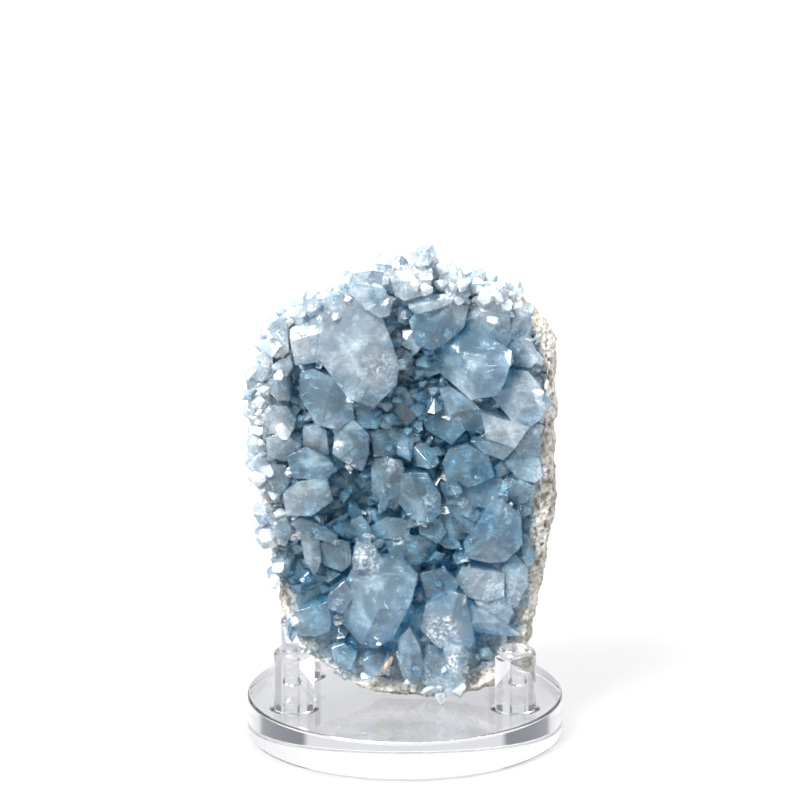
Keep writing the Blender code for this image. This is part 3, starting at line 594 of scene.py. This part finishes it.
# Places where a dark teal is painted into the crystals: painted shade.
SHADE_SPOTS = [
    (415, 365, 20, 1.0), (405, 345, 12, 0.8), (300, 417, 10, 0.9), (430, 456, 8, 0.9),
    (374, 505, 12, 1.0), (450, 552, 15, 0.9), (350, 643, 13, 0.7), (485, 658, 9, 0.8),
    (400, 440, 14, 0.6), (330, 520, 12, 0.6), (470, 520, 12, 0.5), (410, 600, 10, 0.6),
    (440, 610, 10, 0.7), (520, 545, 8, 0.6), (325, 590, 12, 0.5), (385, 420, 10, 0.6),
    (460, 470, 14, 0.5), (440, 325, 14, 0.5),
]
PALE_SPOTS = [
    (352, 340, 52, 0.85), (305, 343, 22, 0.9), (410, 270, 30, 0.6), (262, 415, 34, 0.7),
    (506, 430, 28, 0.7), (522, 400, 26, 0.6), (440, 630, 30, 0.7), (375, 600, 42, 0.45),
    (495, 590, 35, 0.6), (320, 430, 30, 0.5), (470, 400, 36, 0.4), (280, 500, 30, 0.6),
]


def on_photo(point):
    """Pixel of a point on the photo, seen along the camera's long lens."""
    offset = point - Vector((0.0, 0.0, PLATE_TOP))
    return (DISC_CENTRE_PX[0] + offset.x / MM * PIXELS_PER_MM,
            DISC_CENTRE_PX[1] - offset.dot(upward) / MM * PIXELS_PER_MM)


def spot_strength(spots, column, row):
    """Strongest of the round soft spots at a pixel."""
    strongest = 0.0
    for x, y, radius, strength in spots:
        distance = math.hypot(column - x, row - y) / radius
        if distance < 1.4:
            fade = clamped((1.4 - distance) / 0.8)
            strongest = max(strongest, strength * fade)
    return strongest


print(len(FROST_SPOTS), "frosted,", len(SHADE_SPOTS), "deep and", len(PALE_SPOTS), "pale places")

# %% [markdown]
# ## The crystal material
#
# The shader is clear, with an IOR of 1.62, and light loses red on its way through. Wisps and
# cracks inside are a little cloudy, frosted places are white and rough, and each facet is a bit
# paler or bluer than the next. The gaps get a dark teal painted in, a painted shade, and the
# bevelled edges a painted white highlight. A real face isn't a perfect plane: it has steps and
# small facets, so the normal is tilted by a different amount in each cell of a Voronoi pattern.

# %% Crystal material
CRYSTAL_IOR = 1.62
CRYSTAL_HAZE = 0.16
RIM_HAZE = 0.40
RIM_DENSITY = 12.0
FACET_CELLS = ((110.0, 0.16), (420.0, 0.04))
ABSORPTION_COLOUR = (0.20, 0.70, 0.90, 1.0)
ABSORPTION_DENSITY = 54.0
CLEAR_BLUE = (0.34, 0.67, 0.89, 1.0)
CLEAR_WHITE = (0.78, 0.93, 1.00, 1.0)
RIM_BLUE = (0.68, 0.81, 0.91, 1.0)
RIM_WHITE = (0.95, 0.97, 0.98, 1.0)
# Dark teal painted into the gaps: painted shade.
SHADE_TEAL = (0.03, 0.36, 0.55, 1.0)
# White of frost, also painted on the bevelled edges as a highlight.
FROST_AND_HIGHLIGHT_WHITE = (0.95, 0.97, 0.99, 1.0)


def math_node(tree, operation, first, second, third=0.0):
    """Math node fed by sockets or numbers. Gives its output."""
    new = tree.nodes.new("ShaderNodeMath")
    new.operation = operation
    for target, value in zip(new.inputs, (first, second, third)):
        if isinstance(value, bpy.types.NodeSocket):
            tree.links.new(value, target)
        else:
            target.default_value = value
    return new.outputs[0]


def smooth_range(tree, value, start, end, low=0.0, high=1.0):
    """Smooth step of a value from one range to another. Gives its output."""
    new = node(tree, "ShaderNodeMapRange", interpolation_type="SMOOTHSTEP",
               From_Min=start, From_Max=end, To_Min=low, To_Max=high)
    tree.links.new(value, new.inputs["Value"])
    return new.outputs["Result"]


def noise_value(tree, place, scale, detail, distortion=0.0, stretch=(1.0, 1.0, 1.0),
                turn=(0.0, 0.0, 0.0)):
    """Noise in object space, its place stretched and turned first."""
    if stretch != (1.0, 1.0, 1.0):
        mapping = node(tree, "ShaderNodeMapping", Scale=stretch, Rotation=turn)
        tree.links.new(place, mapping.inputs["Vector"])
        place = mapping.outputs["Vector"]
    new = node(tree, "ShaderNodeTexNoise", Scale=scale, Detail=detail, Roughness=0.62,
               Distortion=distortion)
    tree.links.new(place, new.inputs["Vector"])
    return new.outputs["Fac"]


def tilted_normal(tree, place, normal, cells):
    """Normal tilted at random in each Voronoi cell, like the small facets of a broken face."""
    for scale, amount in cells:
        cell = node(tree, "ShaderNodeTexVoronoi", Scale=scale)
        centred = node(tree, "ShaderNodeVectorMath", operation="SUBTRACT")
        centred.inputs[1].default_value = (0.5, 0.5, 0.5)
        scaled = node(tree, "ShaderNodeVectorMath", operation="SCALE", Scale=amount)
        added = node(tree, "ShaderNodeVectorMath", operation="ADD")
        tree.links.new(place, cell.inputs["Vector"])
        tree.links.new(cell.outputs["Color"], centred.inputs[0])
        tree.links.new(centred.outputs[0], scaled.inputs[0])
        tree.links.new(scaled.outputs[0], added.inputs[0])
        tree.links.new(normal, added.inputs[1])
        normal = added.outputs[0]
    unit = node(tree, "ShaderNodeVectorMath", operation="NORMALIZE")
    tree.links.new(normal, unit.inputs[0])
    return unit.outputs[0]


def attribute(tree, name):
    """Named value that the mesh carries."""
    return node(tree, "ShaderNodeAttribute", attribute_name=name).outputs["Fac"]


def crystal_material(name, density, blue, pale_blue, haze):
    """Clear celestite: plain transmission, absorption by depth, wisps, frost, painted gap shade
    and edge highlights.
    """
    mat = bpy.data.materials.new(name)
    mat.use_nodes = True
    tree = mat.node_tree
    link = tree.links.new
    shader = tree.nodes["Principled BSDF"]
    shader.inputs["IOR"].default_value = CRYSTAL_IOR
    place = node(tree, "ShaderNodeTexCoord").outputs["Object"]
    frost = attribute(tree, "frost")
    deep = attribute(tree, "deep")
    facet = attribute(tree, "facet")
    # Bevel faces carry a painted white highlight.
    edge = attribute(tree, "edge")
    rim = attribute(tree, "rim")

    wisp = smooth_range(tree, noise_value(tree, place, 130.0, 6.0, 0.5), 0.38, 0.78)
    crack = smooth_range(tree, noise_value(tree, place, 420.0, 6.0, 0.4, (1.0, 1.0, 3.2),
                                           (0.5, 0.8, 0.1)), 0.57, 0.68)
    sugar = smooth_range(tree, noise_value(tree, place, 900.0, 4.0), 0.42, 0.60)
    frosted = math_node(tree, "MULTIPLY", frost,
                        math_node(tree, "MULTIPLY_ADD", sugar, 0.55, 0.45))
    # Patches along the bevelled edges where a white highlight is painted.
    highlight_patches = smooth_range(tree, noise_value(tree, place, 260.0, 3.0), 0.48, 0.62)
    # White: the frosted places, and the painted highlight on the bevelled edges.
    frost_and_highlight = math_node(tree, "MAXIMUM", frosted,
                      math_node(tree, "MULTIPLY", math_node(tree, "MULTIPLY", edge, highlight_patches), 0.5))
    milky = math_node(tree, "MULTIPLY_ADD", rim, 0.14, haze)
    cracked = math_node(tree, "MULTIPLY_ADD", crack, 0.16, milky)
    cloudy = math_node(tree, "MULTIPLY_ADD", wisp, 0.26, cracked)
    murk = math_node(tree, "MAXIMUM", frost_and_highlight, cloudy)

    pale = math_node(tree, "MULTIPLY_ADD", facet, 0.7, math_node(tree, "MULTIPLY", wisp, 0.35))
    colour = mix_colour(tree, pale, blue, pale_blue)
    colour = mix_colour(tree, rim, colour, mix_colour(tree, pale, RIM_BLUE, RIM_WHITE))
    # Painted shade: dark teal in the gaps and deep places.
    colour = mix_colour(tree, deep, colour, SHADE_TEAL)
    colour = mix_colour(tree, frost_and_highlight, colour, FROST_AND_HIGHLIGHT_WHITE)
    link(colour, shader.inputs["Base Color"])
    link(smooth_range(tree, murk, 0.0, 1.0, 0.97, 0.22), shader.inputs["Transmission Weight"])
    link(smooth_range(tree, murk, 0.0, 1.0, 0.04, 0.40), shader.inputs["Roughness"])

    height = math_node(tree, "MULTIPLY_ADD", crack, 0.6,
                       noise_value(tree, place, 300.0, 4.0, 0.4, (1.0, 1.0, 6.0), (0.4, 0.7, 0.2)))
    bump = node(tree, "ShaderNodeBump", Strength=0.12, Distance=0.0003)
    link(height, bump.inputs["Height"])
    normal = tilted_normal(tree, place, bump.outputs["Normal"], FACET_CELLS)
    link(normal, shader.inputs["Normal"])

    depth = node(tree, "ShaderNodeVolumeAbsorption")
    depth.inputs["Color"].default_value = ABSORPTION_COLOUR
    depth.inputs["Density"].default_value = density
    link(depth.outputs["Volume"], tree.nodes["Material Output"].inputs["Volume"])
    return mat


crystal = crystal_material("celestite", ABSORPTION_DENSITY, CLEAR_BLUE, CLEAR_WHITE,
                           CRYSTAL_HAZE)
rim_crystal = crystal_material("celestite_rim", RIM_DENSITY, RIM_BLUE, RIM_WHITE, RIM_HAZE)
print("crystal materials ready")

# %% [markdown]
# ## The crust
#
# Real crystals have edges that catch the light, so sharp edges get a bevel of a fraction of a
# millimetre. The bevel's faces also get a painted white highlight, in patches. One could cut
# the facets finer in the solid, but the bevel is much too small for it. How far a point lies
# behind its neighbours says how deep in the hollow it is, and the deep places get a darker
# teal painted in: painted shade.

# %% The crust
NEAR_ROCK = 0.6 * MM
SUNK_MM = 0.7
CUT_ROUNDS = 5
SHADE_LIMIT = 0.82
LONGEST_EDGE = 1.7 * MM
BEVEL = 0.15 * MM
SHARP = math.radians(22.0)
BIG_FACET = 38.0 * MM * MM
CAVITY_CELL = 3.0 * MM
CAVITY_DEPTH = 9.0 * MM
FRACTURE = 0.50 * MM
SORT_WAY = Vector((0.53, 0.31, 0.79))
ROCK_TREE = BVHTree.FromPolygons(
    [v.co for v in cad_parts["rock_matrix"].data.vertices],
    [tuple(p.vertices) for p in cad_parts["rock_matrix"].data.polygons])


def cavity_map(points):
    """How far each point lies behind the crystals round it, 0 to 1."""
    front = {}
    for point in points:
        key = (round(point.x / CAVITY_CELL), round(point.z / CAVITY_CELL))
        front[key] = min(front.get(key, 1.0), point.y)
    depths = []
    for point in points:
        column, row = round(point.x / CAVITY_CELL), round(point.z / CAVITY_CELL)
        near = [front[(column + i, row + j)] for i in range(-2, 3) for j in range(-2, 3)
                if (column + i, row + j) in front]
        level = sum(sorted(near)[:6]) / min(len(near), 6)
        depths.append(clamped((point.y - level) / CAVITY_DEPTH))
    return depths


def place_key(vert):
    """Number that depends on a point's place alone."""
    return vert.co.dot(SORT_WAY)


def into_triangles(bm, faces):
    """Cuts faces into triangles, then sorts by place, so that each run has the same order."""
    bmesh.ops.triangulate(bm, faces=faces)
    bm.verts.sort(key=place_key)
    bm.edges.sort(key=lambda edge: place_key(edge.verts[0]) + place_key(edge.verts[1]))
    bm.faces.sort(key=lambda face: sum(sorted(place_key(vert) for vert in face.verts)))


def build_crust():
    """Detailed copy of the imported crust, sunk into the rock at its back."""
    bm = solid_copy("crystal_crust")
    bmesh.ops.dissolve_limit(bm, angle_limit=math.radians(1.0), verts=bm.verts, edges=bm.edges)
    back = set()
    for vert in bm.verts:
        place, normal, _, distance = ROCK_TREE.find_nearest(vert.co)
        if distance < NEAR_ROCK:
            vert.co = place - normal * SUNK_MM * MM
            back.add(vert)
    chance = random.Random(5)
    facet = bm.faces.layers.float.new("facet")
    big = bm.faces.layers.float.new("big")
    highlight_layer = bm.faces.layers.float.new("edge")
    for face in bm.faces:
        face[facet] = chance.random()
        face[big] = min(face.calc_area() / BIG_FACET, 1.0)
    sharp = [edge for edge in bm.edges if edge.is_convex and edge.calc_face_angle(0.0) > SHARP
             and edge.calc_length() > 2 * BEVEL
             and not (edge.verts[0] in back or edge.verts[1] in back)]
    result = bmesh.ops.bevel(bm, geom=sharp, offset=BEVEL, segments=1, affect="EDGES",
                             clamp_overlap=False)
    # The bevel's faces get a painted white highlight, of random strength.
    for face in result["faces"]:
        face[highlight_layer] = 0.4 + 0.6 * chance.random()
    into_triangles(bm, bm.faces)
    for _ in range(CUT_ROUNDS):
        longest = [edge for edge in bm.edges if edge.calc_length() > LONGEST_EDGE
                   and min(v.co.y for v in edge.verts) < 0.012]
        if not longest:
            break
        bmesh.ops.subdivide_edges(bm, edges=longest, cuts=1)
        into_triangles(bm, [face for face in bm.faces if len(face.verts) > 3])
    crust = new_piece("crystal_crust_clear", bm, crystal, False)
    mesh = crust.data
    for name in ("frost", "deep", "rim"):
        mesh.attributes.new(name, "FLOAT", "POINT")
    frost, deep, pale = (mesh.attributes[name].data for name in ("frost", "deep", "rim"))
    cavities = cavity_map([vert.co for vert in mesh.vertices])
    for vert, cavity in zip(mesh.vertices, cavities):
        column, row = on_photo(vert.co)
        reach = rim_measure(vert.co)
        rim = clamped((reach - 0.78) / 0.2)
        core = clamped((0.80 - reach) / 0.5)
        light = spot_strength(PALE_SPOTS, column, row)
        pale[vert.index].value = max(0.75 * clamped((reach - 0.72) / 0.22), light)
        noted = spot_strength(FROST_SPOTS, column, row)
        patchy = clamped(noise.noise(vert.co / (4.0 * MM)) + 0.6)
        frost[vert.index].value = max(noted * (0.4 + 0.6 * patchy), 0.55 * rim * patchy)
        # Painted shade: darker in the gaps, at the noted dark places and towards the hollow's
        # middle.
        noted_shade = spot_strength(SHADE_SPOTS, column, row)
        shade = 0.50 * cavity * (1.0 - rim) + 0.5 * noted_shade + 0.26 * core
        deep[vert.index].value = min(shade * (1.0 - 0.7 * light), SHADE_LIMIT)
    for vert in mesh.vertices:
        if ROCK_TREE.find_nearest(vert.co)[3] > 1.2 * MM:
            broken = 0.02 + 0.8 * spot_strength(FROST_SPOTS, *on_photo(vert.co))
            vert.co += noise.noise_vector(vert.co / (1.6 * MM)) * FRACTURE * broken
    mesh.update()
    return crust


crust = build_crust()
print("crust:", len(crust.data.polygons), "faces")

# %% [markdown]
# ## Small crystals and veils
#
# Between and around the large crystals the real geode is full of small ones: sugary grains on
# the rim, chisel-shaped crystals in the gaps. They repeat, so Geometry Nodes scatters a few
# shapes over the crust. A value on the mesh says where they may grow, and the large
# clean facets stay bare. The same tree scatters veils, the thin white flakes of healed cracks
# that float inside the clear crystals.

# %% Scatter tree
def scatter_tree(name):
    """Geometry Nodes: instances of a collection's objects on a surface, made real."""
    group = bpy.data.node_groups.new(name, "GeometryNodeTree")
    sockets = {}
    for label, kind in (("Surface", "NodeSocketGeometry"), ("Shapes", "NodeSocketCollection"),
                        ("Spacing", "NodeSocketFloat"), ("Seed", "NodeSocketInt"),
                        ("Smallest", "NodeSocketFloat"), ("Largest", "NodeSocketFloat"),
                        ("Tilt", "NodeSocketFloat"), ("Mask", "NodeSocketString"),
                        ("Material", "NodeSocketMaterial")):
        sockets[label] = group.interface.new_socket(label, in_out="INPUT",
                                                    socket_type=kind).identifier
    group.interface.new_socket("Result", in_out="OUTPUT", socket_type="NodeSocketGeometry")
    add = group.nodes.new
    link = group.links.new
    start = add("NodeGroupInput").outputs
    points = add("GeometryNodeDistributePointsOnFaces")
    points.distribute_method = "POISSON"
    points.inputs["Density Max"].default_value = 4.0e6
    mask = add("GeometryNodeInputNamedAttribute")
    mask.data_type = "FLOAT"
    shapes = add("GeometryNodeCollectionInfo")
    shapes.inputs["Separate Children"].default_value = True
    shapes.inputs["Reset Children"].default_value = True
    size = add("FunctionNodeRandomValue")
    size.data_type = "FLOAT"
    tilt = add("FunctionNodeRandomValue")
    tilt.data_type = "FLOAT_VECTOR"
    minus = add("ShaderNodeMath")
    minus.operation = "MULTIPLY"
    minus.inputs[1].default_value = -1.0
    place = add("GeometryNodeInstanceOnPoints")
    place.inputs["Pick Instance"].default_value = True
    turn = add("GeometryNodeRotateInstances")
    real = add("GeometryNodeRealizeInstances")
    paint = add("GeometryNodeSetMaterial")
    end = add("NodeGroupOutput").inputs
    link(start["Surface"], points.inputs["Mesh"])
    link(start["Spacing"], points.inputs["Distance Min"])
    link(start["Seed"], points.inputs["Seed"])
    link(start["Mask"], mask.inputs["Name"])
    link(mask.outputs["Attribute"], points.inputs["Density Factor"])
    link(start["Shapes"], shapes.inputs["Collection"])
    link(start["Smallest"], size.inputs[2])
    link(start["Largest"], size.inputs[3])
    link(start["Seed"], size.inputs["Seed"])
    link(start["Tilt"], minus.inputs[0])
    link(minus.outputs[0], tilt.inputs[0])
    link(start["Tilt"], tilt.inputs[1])
    link(points.outputs["Points"], place.inputs["Points"])
    link(points.outputs["Rotation"], place.inputs["Rotation"])
    link(shapes.outputs["Instances"], place.inputs["Instance"])
    link(size.outputs[1], place.inputs["Scale"])
    link(place.outputs["Instances"], turn.inputs["Instances"])
    link(tilt.outputs[0], turn.inputs["Rotation"])
    link(turn.outputs["Instances"], real.inputs["Geometry"])
    link(real.outputs["Geometry"], paint.inputs["Geometry"])
    link(start["Material"], paint.inputs["Material"])
    link(paint.outputs["Geometry"], end["Result"])
    return group, sockets


SCATTER, SOCKETS = scatter_tree("scatter_on_surface")


def scatter(name, surface, shapes, values, material):
    """New piece: shapes scattered over a surface by the tree, at the origin."""
    collection = bpy.data.collections.new(name + "_shapes")
    for shape in shapes:
        collection.objects.link(shape)
    piece = bpy.data.objects.new(name, surface.data.copy())
    bpy.context.scene.collection.objects.link(piece)
    modifier = piece.modifiers.new("scatter", "NODES")
    modifier.node_group = SCATTER
    for label, value in values.items():
        modifier[SOCKETS[label]] = value
    modifier[SOCKETS["Shapes"]] = collection
    modifier[SOCKETS["Material"]] = material
    baked(piece)
    piece.data.shade_flat()
    for shape in shapes:
        bpy.data.objects.remove(shape, do_unlink=True)
    bpy.data.collections.remove(collection)
    return piece


def chisel_shape(name, chance):
    """Small crystal 1 m tall before scaling: an uneven prism with a sloping two-sided tip."""
    bm = bmesh.new()
    sides = chance.choice((4, 5, 6))
    lean = chance.uniform(-0.4, 0.4)
    for k in range(sides):
        angle = math.tau * (k + chance.uniform(-0.2, 0.2)) / sides
        reach = chance.uniform(0.42, 0.62)
        x, y = reach * math.cos(angle), reach * chance.uniform(0.6, 1.0) * math.sin(angle)
        bm.verts.new((x * 0.8, y * 0.8, -0.7))
        bm.verts.new((x, y, 0.25 + 0.25 * chance.random() + lean * x))
    ridge = chance.uniform(0.1, 0.45)
    for x in (-ridge, ridge):
        bm.verts.new((x, chance.uniform(-0.15, 0.15), 0.8 + lean * x + 0.15 * chance.random()))
    bmesh.ops.convex_hull(bm, input=bm.verts)
    mesh = bpy.data.meshes.new(name)
    bm.to_mesh(mesh)
    bm.free()
    return bpy.data.objects.new(name, mesh)


def lump_shape(name, chance):
    """Rounded sugary lump: the hull of points scattered on a ball."""
    bm = bmesh.new()
    for _ in range(15):
        way = Vector((chance.gauss(0, 1), chance.gauss(0, 1), chance.gauss(0, 1))).normalized()
        reach = chance.uniform(0.42, 0.55)
        bm.verts.new((way.x * reach, way.y * reach * 0.8, way.z * reach + 0.1))
    bmesh.ops.convex_hull(bm, input=bm.verts)
    mesh = bpy.data.meshes.new(name)
    bm.to_mesh(mesh)
    bm.free()
    return bpy.data.objects.new(name, mesh)


def flake_shape(name, chance):
    """Thin uneven flake that lies under the surface it is scattered on."""
    bm = bmesh.new()
    depth = -chance.uniform(0.5, 1.5)
    for k in range(7):
        angle = math.tau * (k + chance.uniform(-0.3, 0.3)) / 7
        reach = chance.uniform(0.4, 1.0)
        for side in (-0.01, 0.01):
            bm.verts.new((reach * math.cos(angle), 0.7 * reach * math.sin(angle),
                          depth + side + 0.12 * math.cos(angle)))
    bmesh.ops.convex_hull(bm, input=bm.verts)
    mesh = bpy.data.meshes.new(name)
    bm.to_mesh(mesh)
    bm.free()
    return bpy.data.objects.new(name, mesh)


print("scatter tree inputs:", sorted(SOCKETS))

# %% [markdown]
# ## Where the small things grow
#
# Grains and lumps cover the pale rim of the geode, fine grains line the seam where crystals
# meet rock, and small crystals stand in the gaps. Clean large facets stay bare. Veils lie
# inside the large crystals alone. Each is a mask, a value from 0 to 1 on the faces.

# %% Masks and scattering
BED_FRONT = -6.5 * MM


def add_masks():
    """Values on the crust that say where grains, small crystals and veils may go."""
    mesh = crust.data
    for name in ("grain_mask", "small_mask", "veil_mask"):
        mesh.attributes.new(name, "FLOAT", "FACE")
    big, deep, grain, small, veil = (mesh.attributes[name].data for name in (
        "big", "deep", "grain_mask", "small_mask", "veil_mask"))
    for face in mesh.polygons:
        distance = ROCK_TREE.find_nearest(face.center)[3]
        open_side = 1.0 if distance > 0.9 * MM and face.normal.y < 0.55 else 0.0
        rim = clamped((rim_measure(face.center) - 0.80) / 0.12)
        cavity = sum(deep[v].value for v in face.vertices) / len(face.vertices)
        clean = big[face.index].value
        seam = clamped((4.0 * MM - distance) / (1.5 * MM))
        grain[face.index].value = open_side * max(0.6 * rim * (1.0 - 0.8 * clean), seam * rim)
        gap = clamped((cavity - 0.50) * 5.0)
        bed = clamped((face.center.y - BED_FRONT) / (1.5 * MM))
        small[face.index].value = open_side * max(gap, bed, 0.06 * (1.0 - clean))
        veil[face.index].value = open_side * clean * (1.0 if face.normal.y < -0.5 else 0.0)


def add_rock_masks():
    """Values on the rock: where lumps cover its rim, and where fine grains line its edge."""
    mesh = rock.data
    for name in ("lump_mask", "seam_mask"):
        mesh.attributes.new(name, "FLOAT", "FACE")
    lump, line, hollow = (mesh.attributes[name].data for name in (
        "lump_mask", "seam_mask", "hollow"))
    low, high = ROCK_BOX
    for face in mesh.polygons:
        covered = max(hollow[vert].value for vert in face.vertices)
        across = (face.center.x - low.x) / (high.x - low.x)
        up = (face.center.z - low.z) / (high.z - low.z)
        front = clamped((7.0 * MM - face.center.y) / (6.0 * MM))
        left = clamped((0.35 - across) / 0.1) * clamped((up - 0.30) / 0.2)
        top = clamped((up - 0.86) / 0.06) * clamped((0.92 - across) / 0.08)
        outer = clamped((rim_measure(face.center) - 0.76) / 0.05)
        faces_out = face.normal.y < 0.6 and face.center.y < 9.0 * MM
        lump[face.index].value = front * max(left, top)
        line[face.index].value = covered * outer if faces_out else 0.0


def scale_value(piece, name, factor):
    """Multiplies a value that a piece's points carry."""
    for item in piece.data.attributes[name].data:
        item.value *= factor


def set_value(piece, name, value):
    """Gives all points of a piece the same value."""
    if name not in piece.data.attributes:
        piece.data.attributes.new(name, "FLOAT", "POINT")
    for item in piece.data.attributes[name].data:
        item.value = value


def veil_material():
    """White flakes of healed cracks, see-through in streaks."""
    mat = bpy.data.materials.new("veil")
    mat.use_nodes = True
    tree = mat.node_tree
    shader = tree.nodes["Principled BSDF"]
    shader.inputs["Base Color"].default_value = (0.93, 0.96, 0.98, 1.0)
    shader.inputs["Roughness"].default_value = 0.3
    place = node(tree, "ShaderNodeTexCoord").outputs["Object"]
    streak = noise_value(tree, place, 500.0, 5.0, 1.0, (1.0, 1.0, 3.0), (0.2, 0.9, 0.4))
    tree.links.new(smooth_range(tree, streak, 0.42, 0.66, 0.03, 0.65), shader.inputs["Alpha"])
    return mat


add_masks()
add_rock_masks()
chance = random.Random(21)
grains = scatter("rim_grains", crust, [lump_shape("grain_%d" % k, chance) for k in range(6)],
                 {"Spacing": 3.3 * MM, "Seed": 3, "Smallest": 2.6 * MM, "Largest": 6.6 * MM,
                  "Tilt": 0.9, "Mask": "grain_mask"}, rim_crystal)
lumps = scatter("rim_lumps", rock, [lump_shape("lump_%d" % k, chance) for k in range(6)],
                {"Spacing": 3.8 * MM, "Seed": 6, "Smallest": 3.8 * MM, "Largest": 8.6 * MM,
                 "Tilt": 0.9, "Mask": "lump_mask"}, rim_crystal)
seam = scatter("seam_grains", rock, [lump_shape("seam_%d" % k, chance) for k in range(5)],
               {"Spacing": 1.7 * MM, "Seed": 9, "Smallest": 1.5 * MM, "Largest": 3.4 * MM,
                "Tilt": 0.9, "Mask": "seam_mask"}, rim_crystal)
small = scatter("small_crystals", crust, [chisel_shape("small_%d" % k, chance) for k in range(5)],
                {"Spacing": 3.6 * MM, "Seed": 8, "Smallest": 2.6 * MM, "Largest": 6.6 * MM,
                 "Tilt": 0.7, "Mask": "small_mask"}, crystal)
# The rim grains get no painted shade, the small crystals less.
set_value(grains, "deep", 0.0)
set_value(lumps, "deep", 0.0)
set_value(seam, "deep", 0.0)
scale_value(small, "deep", 0.55)
veils = scatter("veils", crust, [flake_shape("flake_%d" % k, chance) for k in range(5)],
                {"Spacing": 5.0 * MM, "Seed": 4, "Smallest": 1.2 * MM, "Largest": 3.4 * MM,
                 "Tilt": 1.1, "Mask": "veil_mask"}, veil_material())
for piece in (grains, lumps, seam, small, veils):
    print(piece.name, len(piece.data.polygons), "faces")

# %% [markdown]
# ## The tan shard
#
# Low in the middle a splinter of iron-stained rock stands between the crystals. It is the one
# warm spot in the blue, so it gets a small piece of its own: the hull of a few points round a
# slanting line, rooted in the bed.

# %% Tan shard
SHARD_ROOT = Vector((-7.6, -8.5, 21.0)) * MM
SHARD_TIP = Vector((-4.2, -16.5, 29.6)) * MM
SHARD_WIDTH = 1.9 * MM


def shard_material():
    """Tan stone with pale streaks along the splinter."""
    mat = bpy.data.materials.new("stained_rock")
    mat.use_nodes = True
    tree = mat.node_tree
    shader = tree.nodes["Principled BSDF"]
    shader.inputs["Roughness"].default_value = 0.6
    place = node(tree, "ShaderNodeTexCoord").outputs["Object"]
    streak = smooth_range(tree, noise_value(tree, place, 500.0, 5.0, 0.5, (1.0, 1.0, 0.25),
                                            (0.5, 0.3, 0.0)), 0.40, 0.62)
    colour = mix_colour(tree, streak, (0.36, 0.25, 0.17, 1.0), (0.74, 0.62, 0.50, 1.0))
    tree.links.new(colour, shader.inputs["Base Color"])
    bump = node(tree, "ShaderNodeBump", Strength=0.6, Distance=0.0004)
    tree.links.new(streak, bump.inputs["Height"])
    tree.links.new(bump.outputs["Normal"], shader.inputs["Normal"])
    return mat


def build_shard():
    """Splinter of rock between two points."""
    bm = bmesh.new()
    chance = random.Random(12)
    for k in range(5):
        share = k / 4
        middle = SHARD_ROOT.lerp(SHARD_TIP, share)
        for _ in range(5):
            way = Vector((chance.gauss(0, 1), chance.gauss(0, 1), chance.gauss(0, 1))).normalized()
            bm.verts.new(middle + way * SHARD_WIDTH * (1.0 - 0.7 * share))
    hull = bmesh.ops.convex_hull(bm, input=bm.verts)
    bmesh.ops.delete(bm, geom=[v for v in hull["geom_interior"] if v.is_valid], context="VERTS")
    return new_piece("tan_shard", bm, shard_material(), False)


shard = build_shard()
print("shard:", len(shard.data.polygons), "faces")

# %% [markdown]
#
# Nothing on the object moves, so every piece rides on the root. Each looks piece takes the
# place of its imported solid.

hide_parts("base_disc")
for name, rod in rods.items():
    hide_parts("peg_" + name)
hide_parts("rock_matrix")
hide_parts("crystal_crust")
for rod in rods.values():
    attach(rod, "root")
for piece, slot in ((disc, "acrylic"), (rock, "rock"), (crust, "celestite"),
                    (grains, "celestite"), (lumps, "celestite"), (seam, "celestite"),
                    (small, "celestite"), (veils, "celestite"), (shard, "rock")):
    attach(piece, "root")
